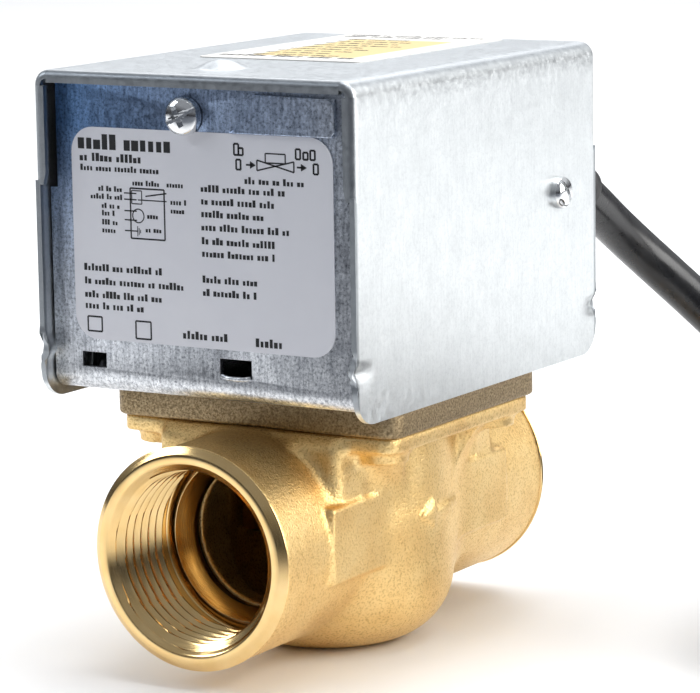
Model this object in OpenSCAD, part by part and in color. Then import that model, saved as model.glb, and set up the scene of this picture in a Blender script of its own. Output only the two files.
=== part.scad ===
// Motorised two-port zone valve: a spring-return actuator head on a cast valve body.
// Millimetres. X runs across the head, +Y along the pipe to the back, +Z up, with the lowest
// point of the body at z = 0 and the stem housing centred on the origin.

/* [Valve body] */
// Outside diameter of the port bosses
port_od = 40; // [34:0.5:44]
// Length from one port face to the other
body_len = 95; // [80:1:110]
// Height of the pipe axis above the lowest point
axis_z = 23.5; // [22:0.5:30]
// Radius of the round chamber in the middle, outside
chamber_r = 22.8; // [21:0.1:25]
// Radius of the female thread's crests
thread_r = 15.15; // [14:0.05:16]
// Length of the female thread
thread_len = 15.5; // [12:0.5:18]
// Width and depth of the bonnet plate under the head
bonnet_w = 59.5; // [50:0.5:62]
bonnet_d = 53.5; // [46:0.5:56]

/* [Head] */
// Width, depth and height of the sheet cover
cover_w = 65.5; // [60:0.5:70]
cover_d = 88; // [80:1:92]
cover_h = 58.6; // [50:0.1:64]
// Thickness of the sheet steel
sheet_t = 1; // [0.8:0.1:1.2]
// Distance from the middle to the outside of the two end walls
wall_y = 41.3; // [38:0.1:42]
// Height of the underside of the base plate
base_z = 50.6; // [48:0.1:54]

/* [Mechanism] */
// Angle that the stem swings from closed to open
swing = 52; // [40:1:60]
// Stem axis, left of the pipe axis
stem_x = -14.6; // [-16:0.1:-13]
// Distance from the stem to the middle of the ball
arm_len = 16.7; // [15:0.1:18]
// Radius of the rubber ball
ball_r = 11.2; // [10:0.1:12]
// Teeth on the full circle of the sector, and on the pinion
sector_teeth = 48; // [40:1:60]
pinion_teeth = 12; // [10:1:14]
// Play between the teeth at the pitch circle
backlash = 0.3; // [0.1:0.05:0.5]

/* [Supply lead] */
// Diameter of the round lead
lead_d = 8.4; // [7:0.1:9]
// Height at which it leaves the back wall
lead_z = 80; // [75:1:90]
// Radius of the coil at the middle of its turns
coil_r = 42; // [42:1:50]

/* [Hidden] */
$fn = 64;

half_len = body_len / 2;
port_r = port_od / 2;
cast_r = port_r - 0.3;         // the cast part of the boss, behind its machined ring
bore_r = 13.06;
chamber_in_r = 19;
flange_z = 43.5;               // joint between body and bonnet
pad_x = 20.1;                  // the spanner flats
top_z = base_z - 1.7 + cover_h; // outside of the cover's top
cover_z = base_z - 1.7;        // lower edge of the cover's side plates
floor_z = base_z + sheet_t;    // top of the base plate
closed_angle = 29;             // direction of the arm at rest, from +X
sector_z = 62;
sector_t = 3;
pitch_r = sector_teeth / 2;    // module 1
pinion_pitch_r = pinion_teeth / 2;
pinion_x = stem_x + pitch_r + pinion_pitch_r;
lever_reach = 24;              // radius of the pin that carries the manual lever
lever_x = stem_x - lever_reach * sin(swing / 2);
lever_z = 58.5;
cam_z = sector_z + sector_t;
cam_r = 9;
hub_r = 8.4;                   // disc that joins the sector, its lever bar and the cam
plunger_travel = 1.2;
motor_plate_z = 76;
motor_x = 2;
motor_y = -5;
front_screw_x = -2.5;
front_screw_z = 100.3;
side_screw_y = 29;
side_screw_z = 80.8;
lead_x = 19.5;
coil_x = 105;
coil_y = 49.5;
coil_h = 34;
tails_h = 25.6;
bonnet_holes = [[-23.5, -19.5], [23.5, -19.5], [-23.5, 19.5], [23.5, 19.5]];
head_holes = [[6, -16], [6, 16]];
post_places = [[26, -30], [26, 30], [-27, -33]];
ear_places = [[20.5, 20.5], [-20.5, -20.5]];

// The lead's way from the strain relief, down past the head's corner and into the coil.
relief_route = [[lead_x, 43.3, lead_z], [lead_x, 48, lead_z], [lead_x, 54, 79.5], [lead_x, 60, 78],
    [19.6, 63, 76.6]];
lead_route = [[19.6, 63, 76.6], [19.8, 67, 74.2], [20, 69.5, 72.5], [21, 76, 67.8],
    [24.5, 82.5, 61.5], [30, 86.8, 55], [36, 89.2, 49], [44, 91, 41.5], [52, 91.5, 34],
    [60, 91.5, 26.5], [68, 91.5, 19.2], [76, 91.5, 12.8], [84, 91.5, 8], [92, 91.5, 5.4],
    [99, 91.5, 4.4]];

brass_cast = [0.80, 0.62, 0.33];
brass_cut = [0.85, 0.70, 0.42];
zinc = [0.72, 0.74, 0.77];
zinc_bright = [0.86, 0.88, 0.90];
steel = [0.75, 0.75, 0.76];
black = [0.06, 0.06, 0.07];

// ---------- shared shapes ----------

// A flat plate in X and Y with round corners, standing on z = 0.
module round_plate(w, d, h, r) {
    translate([-w / 2 + r, -d / 2, 0]) cube([w - 2 * r, d, h]);
    translate([-w / 2, -d / 2 + r, 0]) cube([w, d - 2 * r, h]);
    for (x = [-1, 1], y = [-1, 1])
        translate([x * (w / 2 - r), y * (d / 2 - r), 0]) cylinder(r = r, h = h);
}

// Copies the children to the front and, mirrored, to the back.
module both_ends() {
    children();
    mirror([0, 1, 0]) children();
}

module both_sides() {
    children();
    mirror([1, 0, 0]) children();
}

// A cylinder along -Y whose back face is at y.
module along_front(x, y, z, r, h) {
    translate([x, y, z]) rotate([90, 0, 0]) cylinder(r = r, h = h);
}

// A cone along +Y from radius r1 at y1 to r2 at y2.
module cone_y(y1, r1, y2, r2) {
    translate([0, y1, axis_z]) rotate([-90, 0, 0]) cylinder(r1 = r1, r2 = r2, h = y2 - y1);
}

module ring(r_mid, r_wire) {
    rotate_extrude() translate([r_mid, 0]) circle(r = r_wire);
}

module pan_head(r, h) {
    cylinder(r = r, h = h * 0.45);
    translate([0, 0, h * 0.45]) cylinder(r1 = r, r2 = r * 0.62, h = h * 0.55);
}

// ---------- gears ----------

function involute(a) = tan(a) * 180 / PI - a;

// Half the angle that a tooth fills at radius r, for a pitch radius p and n teeth.
function half_tooth(r, p, n) = let (base = p * cos(20), a = r <= base ? 0 : acos(base / r))
    90 / n - backlash / 4 / p * 180 / PI + involute(20) - involute(a);

function flank(p, n, side, centre) = let (
        radii = [p - 1.25, p - 0.6, p, p + 0.45, p + 0.9],
        order = side > 0 ? [4, 3, 2, 1, 0] : [0, 1, 2, 3, 4])
    [for (i = order) radii[i] * [cos(centre + side * half_tooth(radii[i], p, n)),
                                 sin(centre + side * half_tooth(radii[i], p, n))]];

// Teeth centred on every angle of the list, joined along the root circle.
function gear_outline(p, n, angles) = [for (a = angles) each concat(
    flank(p, n, -1, a), flank(p, n, 1, a))];

// ---------- swept round lead ----------

function unit(v) = v / norm(v);
function tangent(route, i) = unit(route[min(i + 1, len(route) - 1)] - route[max(i - 1, 0)]);
function ring_at(route, i, r, sides) = let (
        t = tangent(route, i), s = unit(cross(t, [0, 0, 1])), u = cross(s, t))
    [for (k = [0 : sides - 1]) route[i]
        + r * (cos(360 * k / sides) * s + sin(360 * k / sides) * u)];

// A closed tube along the route, from radius r1 to r2.
module swept(route, r1, r2, sides = 12) {
    n = len(route);
    points = [for (i = [0 : n - 1]) each ring_at(route, i, r1 + (r2 - r1) * i / (n - 1), sides)];
    walls = [for (i = [0 : n - 2], k = [0 : sides - 1]) let (j = (k + 1) % sides)
        [i * sides + k, i * sides + j, (i + 1) * sides + j, (i + 1) * sides + k]];
    polyhedron(points, concat([[for (k = [sides - 1 : -1 : 0]) k]], walls,
        [[for (k = [0 : sides - 1]) (n - 1) * sides + k]]), convexity = 6);
}

// ---------- valve ----------

// Outer casting: two port bosses, the round chamber, flange, spanner flats and screw bosses.
module body_outside() {
    cone_y(-half_len + 1.3, cast_r, half_len - 1.3, cast_r);
    both_ends() {
        cone_y(-half_len, port_r - 1.35, -half_len + 1, port_r);
        cone_y(-half_len + 1, port_r, -half_len + 1.4, port_r);
        both_sides() {
            translate([0, -31.8, axis_z - 6]) cube([pad_x, 20, 13.8]);
            translate([8, -29, axis_z]) cube([pad_x - 8.3, 10, flange_z - axis_z - 1]);
            translate([23.5, -19.5, 38]) cylinder(r = 4.4, h = flange_z - 38 - 1);
        }
    }
    rotate_extrude() {
        translate([0, 13]) square([chamber_r, flange_z - 14]);
        square([chamber_r - 13, 14]);
        intersection() {
            translate([chamber_r - 13, 13]) circle(r = 13);
            square([chamber_r, 14]);
        }
    }
    translate([0, 0, flange_z - 3]) round_plate(bonnet_w - 2, bonnet_d - 2, 3, 3.2);
    // fan of metal that spreads from the boss to the flange
    both_ends() hull() {
        translate([-26, -24.4, flange_z - 3]) cube([52, 13, 1]);
        translate([-17, -19.6, axis_z + 6]) cube([34, 8, 1]);
    }
    // flow arrow cast on both sides, pointing to the front
    both_sides() intersection() {
        difference() {
            cylinder(r = chamber_r + 0.7, h = 40);
            translate([0, 0, -1]) cylinder(r = chamber_r - 1, h = 42);
        }
        union() {
            translate([15, -3.5, axis_z + 0.4]) cube([10, 14, 2.8]);
            translate([15, -3.4, axis_z + 1.8]) rotate([0, 90, 0]) rotate([0, 0, -90])
                cylinder(r = 3, h = 10, $fn = 3);
        }
    }
}

// One port from its face inwards: countersink, thread, run-out groove, cone and bore.
module port_bore() {
    cone_y(-half_len - 0.01, thread_r + 2.01, -half_len + 2, thread_r);
    cone_y(-half_len, thread_r, -half_len + thread_len + 0.5, thread_r);
    cone_y(-half_len + thread_len, 16.9, -half_len + 18.5, 16.9);
    cone_y(-half_len + 18.4, 15, -half_len + 21.8, bore_r);
    cone_y(-half_len + 21.7, bore_r, -8, bore_r);
}

module valve_body() {
    color(brass_cast) difference() {
        body_outside();
        both_ends() port_bore();
        rotate_extrude() {
            translate([0, 13.7]) square([chamber_in_r, flange_z - 13]);
            translate([0, 4.2]) square([chamber_in_r - 9.5, 10]);
            translate([chamber_in_r - 9.5, 13.7]) circle(r = 9.5);
        }
        translate([0, 0, flange_z - 1]) difference() {
            cylinder(r = 22, h = 2);
            translate([0, 0, -1]) cylinder(r = 20, h = 4);
        }
        for (p = bonnet_holes) translate([p[0], p[1], 39]) cylinder(r = 1.7, h = 6);
    }
}

// Brass seat pressed into the back port; the ball closes on its inner edge.
module seat_ring() {
    color(brass_cut) difference() {
        cone_y(15, bore_r - 0.02, 24, bore_r - 0.02);
        cone_y(14, 9, 25, 9);
    }
}

module bonnet_plate() {
    color(brass_cast) difference() {
        union() {
            translate([0, 0, flange_z]) round_plate(bonnet_w, bonnet_d, 5.1, 3.6);
            translate([0, 0, flange_z + 5]) round_plate(36, 48, base_z - flange_z - 5, 3);
        }
        translate([stem_x, 0, 40]) cylinder(r = 3.03, h = 12);
        for (z = [44.9, 47.5]) translate([stem_x, 0, z]) cylinder(r = 4.45, h = 1.6);
        for (p = bonnet_holes) translate([p[0], p[1], 42]) {
            cylinder(r = 2.2, h = 10);
            translate([0, 0, 4.2]) cylinder(r = 3.8, h = 10);
        }
        for (p = head_holes) translate([p[0], p[1], 45.5]) cylinder(r = 1.65, h = 10);
    }
}

module bonnet_seal() {
    color(black) translate([0, 0, flange_z - 0.5]) ring(21, 0.5);
}

module bonnet_screws() {
    color(steel) for (p = bonnet_holes) translate([p[0], p[1], 0]) difference() {
        union() {
            translate([0, 0, 39.5]) cylinder(r = 1.65, h = 7);
            translate([0, 0, 46.2]) cylinder(r = 3.5, h = 2.4);
        }
        translate([0, 0, 47.2]) cylinder(r = 1.7, h = 3, $fn = 6);
    }
}

// Steel stem that carries the arm below and the gear sector above.
module stem() {
    color(steel) translate([stem_x, 0, 18.5]) cylinder(r = 3, h = 51.5);
}

module stem_seals() {
    color(black) for (z = [45.7, 48.3]) translate([stem_x, 0, z]) ring(3.735, 0.7);
}

module arm_bar(grow) {
    translate([stem_x, 0, axis_z - 1.5 - grow]) rotate([0, 0, closed_angle])
        translate([0, -2 - grow, 0]) cube([arm_len + 3 + grow, 4 + 2 * grow, 3 + 2 * grow]);
    translate([stem_x, 0, axis_z - 1.5 - grow]) rotate([0, 0, closed_angle])
        translate([arm_len, 0, 0]) cylinder(r = 4.5 + grow, h = 3 + 2 * grow);
}

module paddle_arm() {
    color(brass_cut) difference() {
        union() {
            arm_bar(0);
            translate([stem_x, 0, 19]) cylinder(r = 4, h = 9);
        }
        translate([stem_x, 0, 10]) cylinder(r = 3.01, h = 30);
    }
}

module ball_plug() {
    color(black) difference() {
        translate([stem_x + arm_len * cos(closed_angle), arm_len * sin(closed_angle), axis_z])
            sphere(r = ball_r);
        arm_bar(0.02);
    }
}

// ---------- head: sheet metal ----------

// An end wall at the front, outer face at y = -wall_y, narrower where the cover's lips pass.
module end_wall() {
    translate([-31.4, -wall_y, base_z + 3]) cube([62.8, sheet_t, 33]);
    translate([-29.9, -wall_y, base_z + 3]) cube([59.8, sheet_t, 52.2]);
}

// A slot through the front wall, from its lower left corner.
module wall_slot(x, z, w, h) {
    translate([x, -wall_y - 1, z]) cube([w, sheet_t + 2, h]);
}

// Quarter-round bend between the base plate and an end wall.
module wall_bend() {
    translate([-31.4, -wall_y + 3, base_z + 3]) rotate([0, 90, 0]) intersection() {
        difference() {
            cylinder(r = 3, h = 62.8);
            translate([0, 0, -1]) cylinder(r = 3 - sheet_t, h = 65);
        }
        translate([0, -4, -1]) cube([4, 4, 65]);
    }
}

module chassis() {
    color(zinc) difference() {
        union() {
            translate([-31.4, -wall_y + 3, base_z]) cube([62.8, 2 * wall_y - 6, sheet_t]);
            both_ends() {
                wall_bend();
                end_wall();
            }
            // raised flap at the upper right of the front wall
            translate([11, -wall_y - 0.5, 97.9]) cube([16.7, 0.6, 6.4]);
            // tabs that take the cover's side screws
            both_sides() translate([30.4, side_screw_y - 5, base_z]) cube([1, 10, 36]);
        }
        wall_slot(-25.5, 54.9, 5.1, 2.7);
        wall_slot(3.5, 55.2, 6.5, 3.2);
        along_front(front_screw_x, 0, front_screw_z, 1.8, 50);
        both_sides() translate([20, side_screw_y, side_screw_z]) rotate([0, 90, 0])
            cylinder(r = 1.6, h = 20);
        translate([stem_x, 0, base_z - 1]) cylinder(r = 7, h = 4);
        for (p = head_holes) translate([p[0], p[1], base_z - 1]) cylinder(r = 2.2, h = 4);
        translate([lead_x, 0, lead_z]) rotate([-90, 0, 0]) cylinder(r = 6, h = 50);
        // slot that the manual lever travels in
        translate([lever_x - 3.6, wall_y - 2, lever_z - 0.5])
            cube([2 * lever_reach * sin(swing / 2) + 7.2, 4, 3]);
    }
}

module head_screws() {
    color(steel) for (p = head_holes) translate([p[0], p[1], 0]) difference() {
        union() {
            translate([0, 0, 46]) cylinder(r = 1.6, h = floor_z - 46 + 0.1);
            translate([0, 0, floor_z]) pan_head(3.8, 2.4);
        }
        translate([-0.5, -5, floor_z + 1.4]) cube([1, 10, 3]);
    }
}

// Screw and ring tag that earth the base plate.
module earth_screw() {
    color(brass_cut) translate([26, -12, floor_z]) {
        difference() {
            cylinder(r = 3.6, h = 0.8);
            translate([0, 0, -1]) cylinder(r = 1.9, h = 3);
        }
        translate([-1.5, -10, 0]) cube([3, 7, 0.8]);
        cylinder(r = 1.85, h = 1.2);
        translate([0, 0, 0.9]) pan_head(3.3, 2.2);
    }
}

// Section of the cover in X and Z: an inverted U with round bends.
module cover_section(out) {
    w = cover_w / 2 - sheet_t + out;
    top = top_z - sheet_t + out;
    r = 1 + out;
    translate([-w, cover_z - 1 + out]) square([2 * w, top - r - cover_z + 1 - out]);
    translate([-w + r, cover_z - 1 + out]) square([2 * w - 2 * r, top - cover_z + 1 - out]);
    for (x = [-1, 1]) translate([x * (w - r), top - r]) circle(r = r);
}

module cover() {
    lip = 2.2;
    color(zinc_bright) difference() {
        union() {
            difference() {
                translate([0, cover_d / 2, 0]) rotate([90, 0, 0])
                    linear_extrude(cover_d) cover_section(sheet_t);
                translate([0, cover_d, 0]) rotate([90, 0, 0])
                    linear_extrude(2 * cover_d) cover_section(0);
            }
            // folded-in lips across the top and down the upper sides
            both_ends() difference() {
                translate([0, -cover_d / 2 + sheet_t, 0]) rotate([90, 0, 0])
                    linear_extrude(sheet_t) cover_section(sheet_t / 2);
                translate([-cover_w / 2 + lip, -cover_d / 2 - 1, cover_z - 2])
                    cube([cover_w - 2 * lip, 4, cover_h + 2 - lip]);
                translate([-cover_w, -cover_d / 2 - 1, 0]) cube([2 * cover_w, 4, 86.2]);
            }
            // hollow dome pressed up from the top
            translate([front_screw_x, -29.5, top_z + 1.6 - 7.8]) sphere(r = 7.8);
        }
        translate([front_screw_x, -29.5, top_z + 0.8 - 7]) sphere(r = 7.05);
        translate([front_screw_x - 9, -39, top_z - sheet_t - 15]) cube([18, 18, 15]);
        both_sides() {
            translate([25, side_screw_y, side_screw_z]) rotate([0, 90, 0])
                cylinder(r = 1.8, h = 12);
            // round lower corners
            both_ends() translate([20, -cover_d / 2, cover_z]) difference() {
                translate([0, -1, -1]) cube([20, 6.5, 6.5]);
                translate([-1, 5.5, 5.5]) rotate([0, 90, 0]) cylinder(r = 5.5, h = 22);
            }
        }
    }
}

module front_screw() {
    color(steel) difference() {
        union() {
            along_front(front_screw_x, -36, front_screw_z, 1.65, wall_y - 36 + 0.3);
            translate([front_screw_x, -wall_y - 0.22, front_screw_z]) rotate([90, 0, 0])
                pan_head(3.4, 2.6);
        }
        translate([front_screw_x - 4, -50, front_screw_z - 0.5]) cube([8, 50 - wall_y - 1.5, 1]);
    }
}

module side_screws() {
    color(steel) both_sides() translate([0, side_screw_y, side_screw_z]) difference() {
        union() {
            translate([28, 0, 0]) rotate([0, 90, 0]) cylinder(r = 1.5, h = cover_w / 2 - 28);
            translate([cover_w / 2, 0, 0]) rotate([0, 90, 0]) pan_head(3, 2.2);
        }
        translate([cover_w / 2 + 1.2, -4, -0.45]) cube([3, 8, 0.9]);
    }
}

module front_label() {
    color([0.79, 0.79, 0.82]) translate([0.25, -wall_y, 78.8]) rotate([90, 0, 0])
        round_plate(53.7, 37.6, 0.2, 4.5);
}

module top_label() {
    color([0.95, 0.94, 0.90]) translate([-2, 14.5, top_z]) round_plate(34, 54, 0.2, 1.5);
}

// ---------- head: drive ----------

module gear_sector() {
    angles = [for (i = [-1 : 8]) i * 360 / sector_teeth];
    teeth = gear_outline(pitch_r, sector_teeth, angles);
    cam = [for (b = [-100 : 8 : -28]) (cam_r + plunger_travel * (b + 90) / swing)
        * [cos(b), sin(b)]];
    color(zinc) translate([stem_x, 0, 0]) difference() {
        union() {
            translate([0, 0, sector_z]) linear_extrude(sector_t) {
                polygon(concat([[0, 0]], teeth));
                circle(r = hub_r);
                rotate(90 + swing / 2) translate([0, -3]) square([lever_reach + 2, 6]);
            }
            translate([0, 0, cam_z]) linear_extrude(2.5) {
                polygon(concat([[0, 0]], cam));
                circle(r = hub_r);
            }
            translate([0, 0, 53]) cylinder(r = 5, h = 15);
            rotate([0, 0, 90 + swing / 2]) translate([lever_reach, 0, 57.6])
                cylinder(r = 1.5, h = sector_z - 57.6 + 0.5);
        }
        translate([0, 0, 50]) cylinder(r = 3.01, h = 20);
    }
}

module stem_clip() {
    color(steel) translate([stem_x, 0, 68.05]) difference() {
        cylinder(r = 4.6, h = 0.8);
        translate([0, 0, -1]) cylinder(r = 3.02, h = 3);
        translate([0, -1.2, -1]) cube([6, 2.4, 3]);
    }
}

// Torsion spring that closes the valve, drawn as touching turns with two straight legs.
module return_spring() {
    color(steel) translate([stem_x, 0, 0]) {
        for (i = [0 : 4]) translate([0, 0, 53.6 + 1.38 * i]) ring(7, 0.7);
        translate([0, -7, 53.6]) rotate([0, 90, 0]) cylinder(r = 0.68, h = 14);
        rotate([0, 0, 90 + swing / 2]) translate([0, 7, 59.12]) rotate([0, 90, 0])
            cylinder(r = 0.68, h = 10);
    }
}

module motor_posts() {
    color(steel) for (p = post_places) translate([p[0], p[1], floor_z])
        cylinder(r = 2.8, h = motor_plate_z - floor_z);
}

module motor_plate() {
    color(zinc) difference() {
        translate([0, -1.5, motor_plate_z]) round_plate(58, 69, 1.2, 3);
        translate([pinion_x, 0, motor_plate_z - 1]) cylinder(r = 8, h = 4);
        translate([stem_x, 0, motor_plate_z - 1]) cylinder(r = 5, h = 4);
        for (p = ear_places) translate([motor_x + p[0], motor_y + p[1], motor_plate_z - 1])
            cylinder(r = 1.7, h = 4);
    }
}

module gearbox() {
    color([0.62, 0.63, 0.66]) translate([motor_x, motor_y, motor_plate_z + 1.2]) difference() {
        union() {
            cylinder(r = 24, h = 9.8);
            for (p = ear_places) translate([p[0], p[1], 0]) cylinder(r = 4.2, h = 2);
            rotate([0, 0, 45]) translate([-29, -4.2, 0]) cube([58, 8.4, 2]);
        }
        for (p = ear_places) translate([p[0], p[1], -1]) cylinder(r = 1.7, h = 5);
        translate([pinion_x - motor_x, -motor_y, -1]) cylinder(r = 2.06, h = 8);
    }
}

module motor_can() {
    color(zinc) translate([motor_x, motor_y, motor_plate_z + 11]) {
        cylinder(r = 22.5, h = 13.5);
        translate([0, 0, 13.5]) cylinder(r = 6, h = 1.5);
    }
}

module motor_screws() {
    color(steel) for (p = ear_places) translate([motor_x + p[0], motor_y + p[1], 0]) {
        translate([0, 0, motor_plate_z - 1.5]) cylinder(r = 1.6, h = 4.75);
        translate([0, 0, motor_plate_z + 3.2]) pan_head(2.8, 2);
    }
}

// Motor shaft with its pinion, in mesh with the sector at rest.
module motor_pinion() {
    angles = [for (i = [0 : pinion_teeth - 1]) (i + 0.5) * 360 / pinion_teeth];
    color(brass_cut) translate([pinion_x, 0, 0]) {
        translate([0, 0, sector_z - 0.5]) linear_extrude(4)
            polygon(gear_outline(pinion_pitch_r, pinion_teeth, angles));
        translate([0, 0, sector_z - 2]) cylinder(r = 2, h = motor_plate_z + 6 - sector_z);
    }
}

module switch_bracket() {
    color(zinc) {
        translate([-29.5, -27, 60.6]) cube([20, 15, 1.2]);
        translate([-29.5, -28, floor_z]) cube([20, 1, 61.8 - floor_z]);
        translate([-29.5, -27, floor_z]) cube([20, 4, 1]);
    }
}

module end_switch() {
    color([0.55, 0.16, 0.12]) difference() {
        translate([-29.5, -24, 61.85]) cube([19.8, 10.3, 6.4]);
        translate([stem_x, -16, 66.2]) rotate([-90, 0, 0]) cylinder(r = 0.85, h = 5);
    }
}

module switch_tabs() {
    color([0.80, 0.72, 0.45]) for (x = [-27.5, -20, -12.5])
        translate([x - 1.6, -29.5, 64.4]) cube([3.2, 5.5, 0.6]);
}

module switch_plunger() {
    color([0.9, 0.9, 0.9]) translate([stem_x, -14.6, 66.2]) rotate([-90, 0, 0])
        cylinder(r = 0.8, h = 14.6 - cam_r - 0.25);
}

// Flat lever through the back wall. The sector's pin runs in its fork and carries it.
module manual_lever() {
    color([0.78, 0.78, 0.80]) translate([lever_x, 0, lever_z]) difference() {
        union() {
            translate([-4, 17.8, 0]) cube([8, 20, 2]);
            translate([-3, 37, 0]) cube([6, 9.9, 2]);
            translate([-3, 45.1, 0]) cube([6, 1.8, 9]);
        }
        translate([-1.85, 16, -1]) cube([3.7, 10.5, 4]);
    }
}

// ---------- supply lead ----------

module cable_gland() {
    color(black) translate([lead_x, 0, lead_z]) rotate([-90, 0, 0]) {
        translate([0, 0, 35.5]) cylinder(r = 5.95, h = 43.3 - 35.5);
        translate([0, 0, wall_y]) cylinder(r = 8, h = 2);
        translate([0, 0, 36.8]) cylinder(r = 8.4, h = 3.4, $fn = 6);
    }
}

module strain_relief() {
    color(black) swept(relief_route, 6.4, lead_d / 2 + 0.7);
}

// Single cores from the gland to the motor and to the end switch.
module inner_leads() {
    color([0.35, 0.22, 0.12]) {
        swept([[22, 37, 80], [23.5, 31, 81], [24, 26.5, 82], [21, 20, 83.4], [17, 14, 84.2]], 1, 1, 8);
        swept([[17, 37, 79], [10, 34, 74], [-2, 33, 71.5], [-16, 28, 71.5], [-27, 16, 71],
            [-28.5, 0, 70.5], [-28.5, -18, 70.6], [-28.3, -24, 70.3], [-28, -27.5, 68.6],
            [-27.5, -28.3, 65.6]], 1, 1, 8);
    }
}

module supply_lead() {
    color(black) swept(lead_route, lead_d / 2, lead_d / 2, 10);
}

// Outer shape of the wound turns, with a gap on top where the stripped wires lie.
module lead_coil() {
    inner = coil_r - lead_d / 2;
    color(black) translate([coil_x, coil_y, 0]) {
        rotate_extrude() translate([inner, 0]) square([lead_d, tails_h]);
        rotate([0, 0, 90]) rotate_extrude(angle = 285) translate([inner, tails_h - 0.1])
            square([lead_d, coil_h - tails_h + 0.1]);
    }
}

module coil_tie() {
    inner = coil_r - lead_d / 2;
    color([0.92, 0.92, 0.90]) translate([coil_x - 2, coil_y, 0]) difference() {
        translate([0, -inner - lead_d - 1.2, 0.3]) cube([4, lead_d + 2.4, coil_h - 0.3]);
        translate([-1, -inner - lead_d, 1.3]) cube([6, lead_d, coil_h - 2.3]);
    }
}

// Stripped end of the lead: its cores lie on the coil.
module wire_tails() {
    color([0.7, 0.4, 0.2]) translate([coil_x, coil_y, tails_h]) rotate([0, 0, 20])
        rotate_extrude(angle = 68) translate([coil_r - 3.6, 0]) square([7.2, 7.6]);
}

valve_body();
seat_ring();
bonnet_plate();
bonnet_seal();
bonnet_screws();
stem();
stem_seals();
paddle_arm();
ball_plug();
chassis();
head_screws();
earth_screw();
cover();
front_screw();
side_screws();
front_label();
top_label();
gear_sector();
stem_clip();
return_spring();
motor_posts();
motor_plate();
gearbox();
motor_can();
motor_screws();
motor_pinion();
switch_bracket();
end_switch();
switch_tabs();
switch_plunger();
manual_lever();
cable_gland();
strain_relief();
inner_leads();
supply_lead();
lead_coil();
coil_tie();
wire_tails();
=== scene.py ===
import math
import random

import bmesh
import bpy
import numpy as np
from mathutils import Matrix, Vector


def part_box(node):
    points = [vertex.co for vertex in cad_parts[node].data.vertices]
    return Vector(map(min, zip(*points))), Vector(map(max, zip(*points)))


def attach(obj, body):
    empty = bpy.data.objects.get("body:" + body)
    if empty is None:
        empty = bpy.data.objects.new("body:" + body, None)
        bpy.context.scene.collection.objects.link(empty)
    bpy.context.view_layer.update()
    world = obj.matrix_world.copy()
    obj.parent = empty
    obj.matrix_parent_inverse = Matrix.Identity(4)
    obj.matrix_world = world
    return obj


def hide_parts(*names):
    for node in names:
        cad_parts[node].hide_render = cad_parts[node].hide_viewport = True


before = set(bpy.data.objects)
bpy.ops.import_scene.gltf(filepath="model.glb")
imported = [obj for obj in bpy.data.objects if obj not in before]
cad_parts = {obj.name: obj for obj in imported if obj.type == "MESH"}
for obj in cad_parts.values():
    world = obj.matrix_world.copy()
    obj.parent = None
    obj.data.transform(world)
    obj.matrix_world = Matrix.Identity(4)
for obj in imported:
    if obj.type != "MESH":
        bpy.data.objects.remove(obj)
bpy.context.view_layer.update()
mm = 0.001


# ---- Bench, light and camera ----
# The valve stands on its round chamber on a plain pale table, between large soft lamps. The lamp
# on the right is the strongest, and a dim band low in the room gives bright metal its dark streaks.

scene = bpy.context.scene
scene.view_settings.view_transform = "Standard"

look_at = Vector((4.87, 0, 54.33)) * mm
azimuth, elevation, roll = (math.radians(a) for a in (31.13, 9.52, -0.89))
stand_off = 647.65 * mm
back = Vector((math.sin(azimuth) * math.cos(elevation),
               -math.cos(azimuth) * math.cos(elevation), math.sin(elevation)))
level = Vector((math.cos(azimuth), math.sin(azimuth), 0))
across = level * math.cos(roll) + back.cross(level) * math.sin(roll)
camera = bpy.data.objects.new("camera", bpy.data.cameras.new("camera"))
camera.data.lens = 182.2
camera.data.sensor_width = 36
camera.data.clip_start = 0.02
camera.matrix_world = Matrix.Translation(look_at + back * stand_off) @ Matrix(
    (across, back.cross(across), back)).transposed().to_4x4()
scene.collection.objects.link(camera)
scene.camera = camera


def lamp(name, place, size, watts, colour, aim=look_at):
    """A square soft lamp that faces the valve, or another place."""
    light = bpy.data.lights.new(name, "AREA")
    light.size = size
    light.energy = watts
    light.color = colour
    obj = bpy.data.objects.new(name, light)
    scene.collection.objects.link(obj)
    obj.location = place
    obj.rotation_euler = (Vector(aim) - Vector(place)).to_track_quat("-Z", "Y").to_euler()


lamp("right_lamp", (0.95, 0.28, 0.48), 0.8, 9.5, (1, 0.99, 0.97))
lamp("top_lamp", (0.10, 0.15, 1.20), 0.9, 12, (1, 1, 1))
lamp("left_lamp", (-0.95, -0.55, 0.75), 0.5, 4.6, (0.90, 0.95, 1))
lamp("back_lamp", (-0.80, 1.30, 1.0), 1.3, 9, (1, 1, 1), (-0.80, 1.31, 0))

room = bpy.data.worlds.new("room")
room.use_nodes = True
scene.world = room
nodes, links = room.node_tree.nodes, room.node_tree.links
direction = nodes.new("ShaderNodeTexCoord")
height = nodes.new("ShaderNodeSeparateXYZ")
shades = nodes.new("ShaderNodeValToRGB")
links.new(direction.outputs["Generated"], height.inputs["Vector"])
links.new(height.outputs["Z"], shades.inputs["Fac"])
shades.color_ramp.elements[0].position = 0.02
shades.color_ramp.elements[0].color = (0.10, 0.10, 0.11, 1)
shades.color_ramp.elements[1].position = 0.45
shades.color_ramp.elements[1].color = (0.95, 0.97, 1, 1)
sides = nodes.new("ShaderNodeValToRGB")
links.new(height.outputs["Y"], sides.inputs["Fac"])
sides.color_ramp.elements[0].position = 0.0
sides.color_ramp.elements[0].color = (0.40, 0.41, 0.43, 1)
sides.color_ramp.elements[1].position = 0.3
sides.color_ramp.elements[1].color = (1, 1, 1, 1)
dimmed = nodes.new("ShaderNodeVectorMath")
dimmed.operation = "MULTIPLY"
links.new(shades.outputs["Color"], dimmed.inputs[0])
links.new(sides.outputs["Color"], dimmed.inputs[1])
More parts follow.
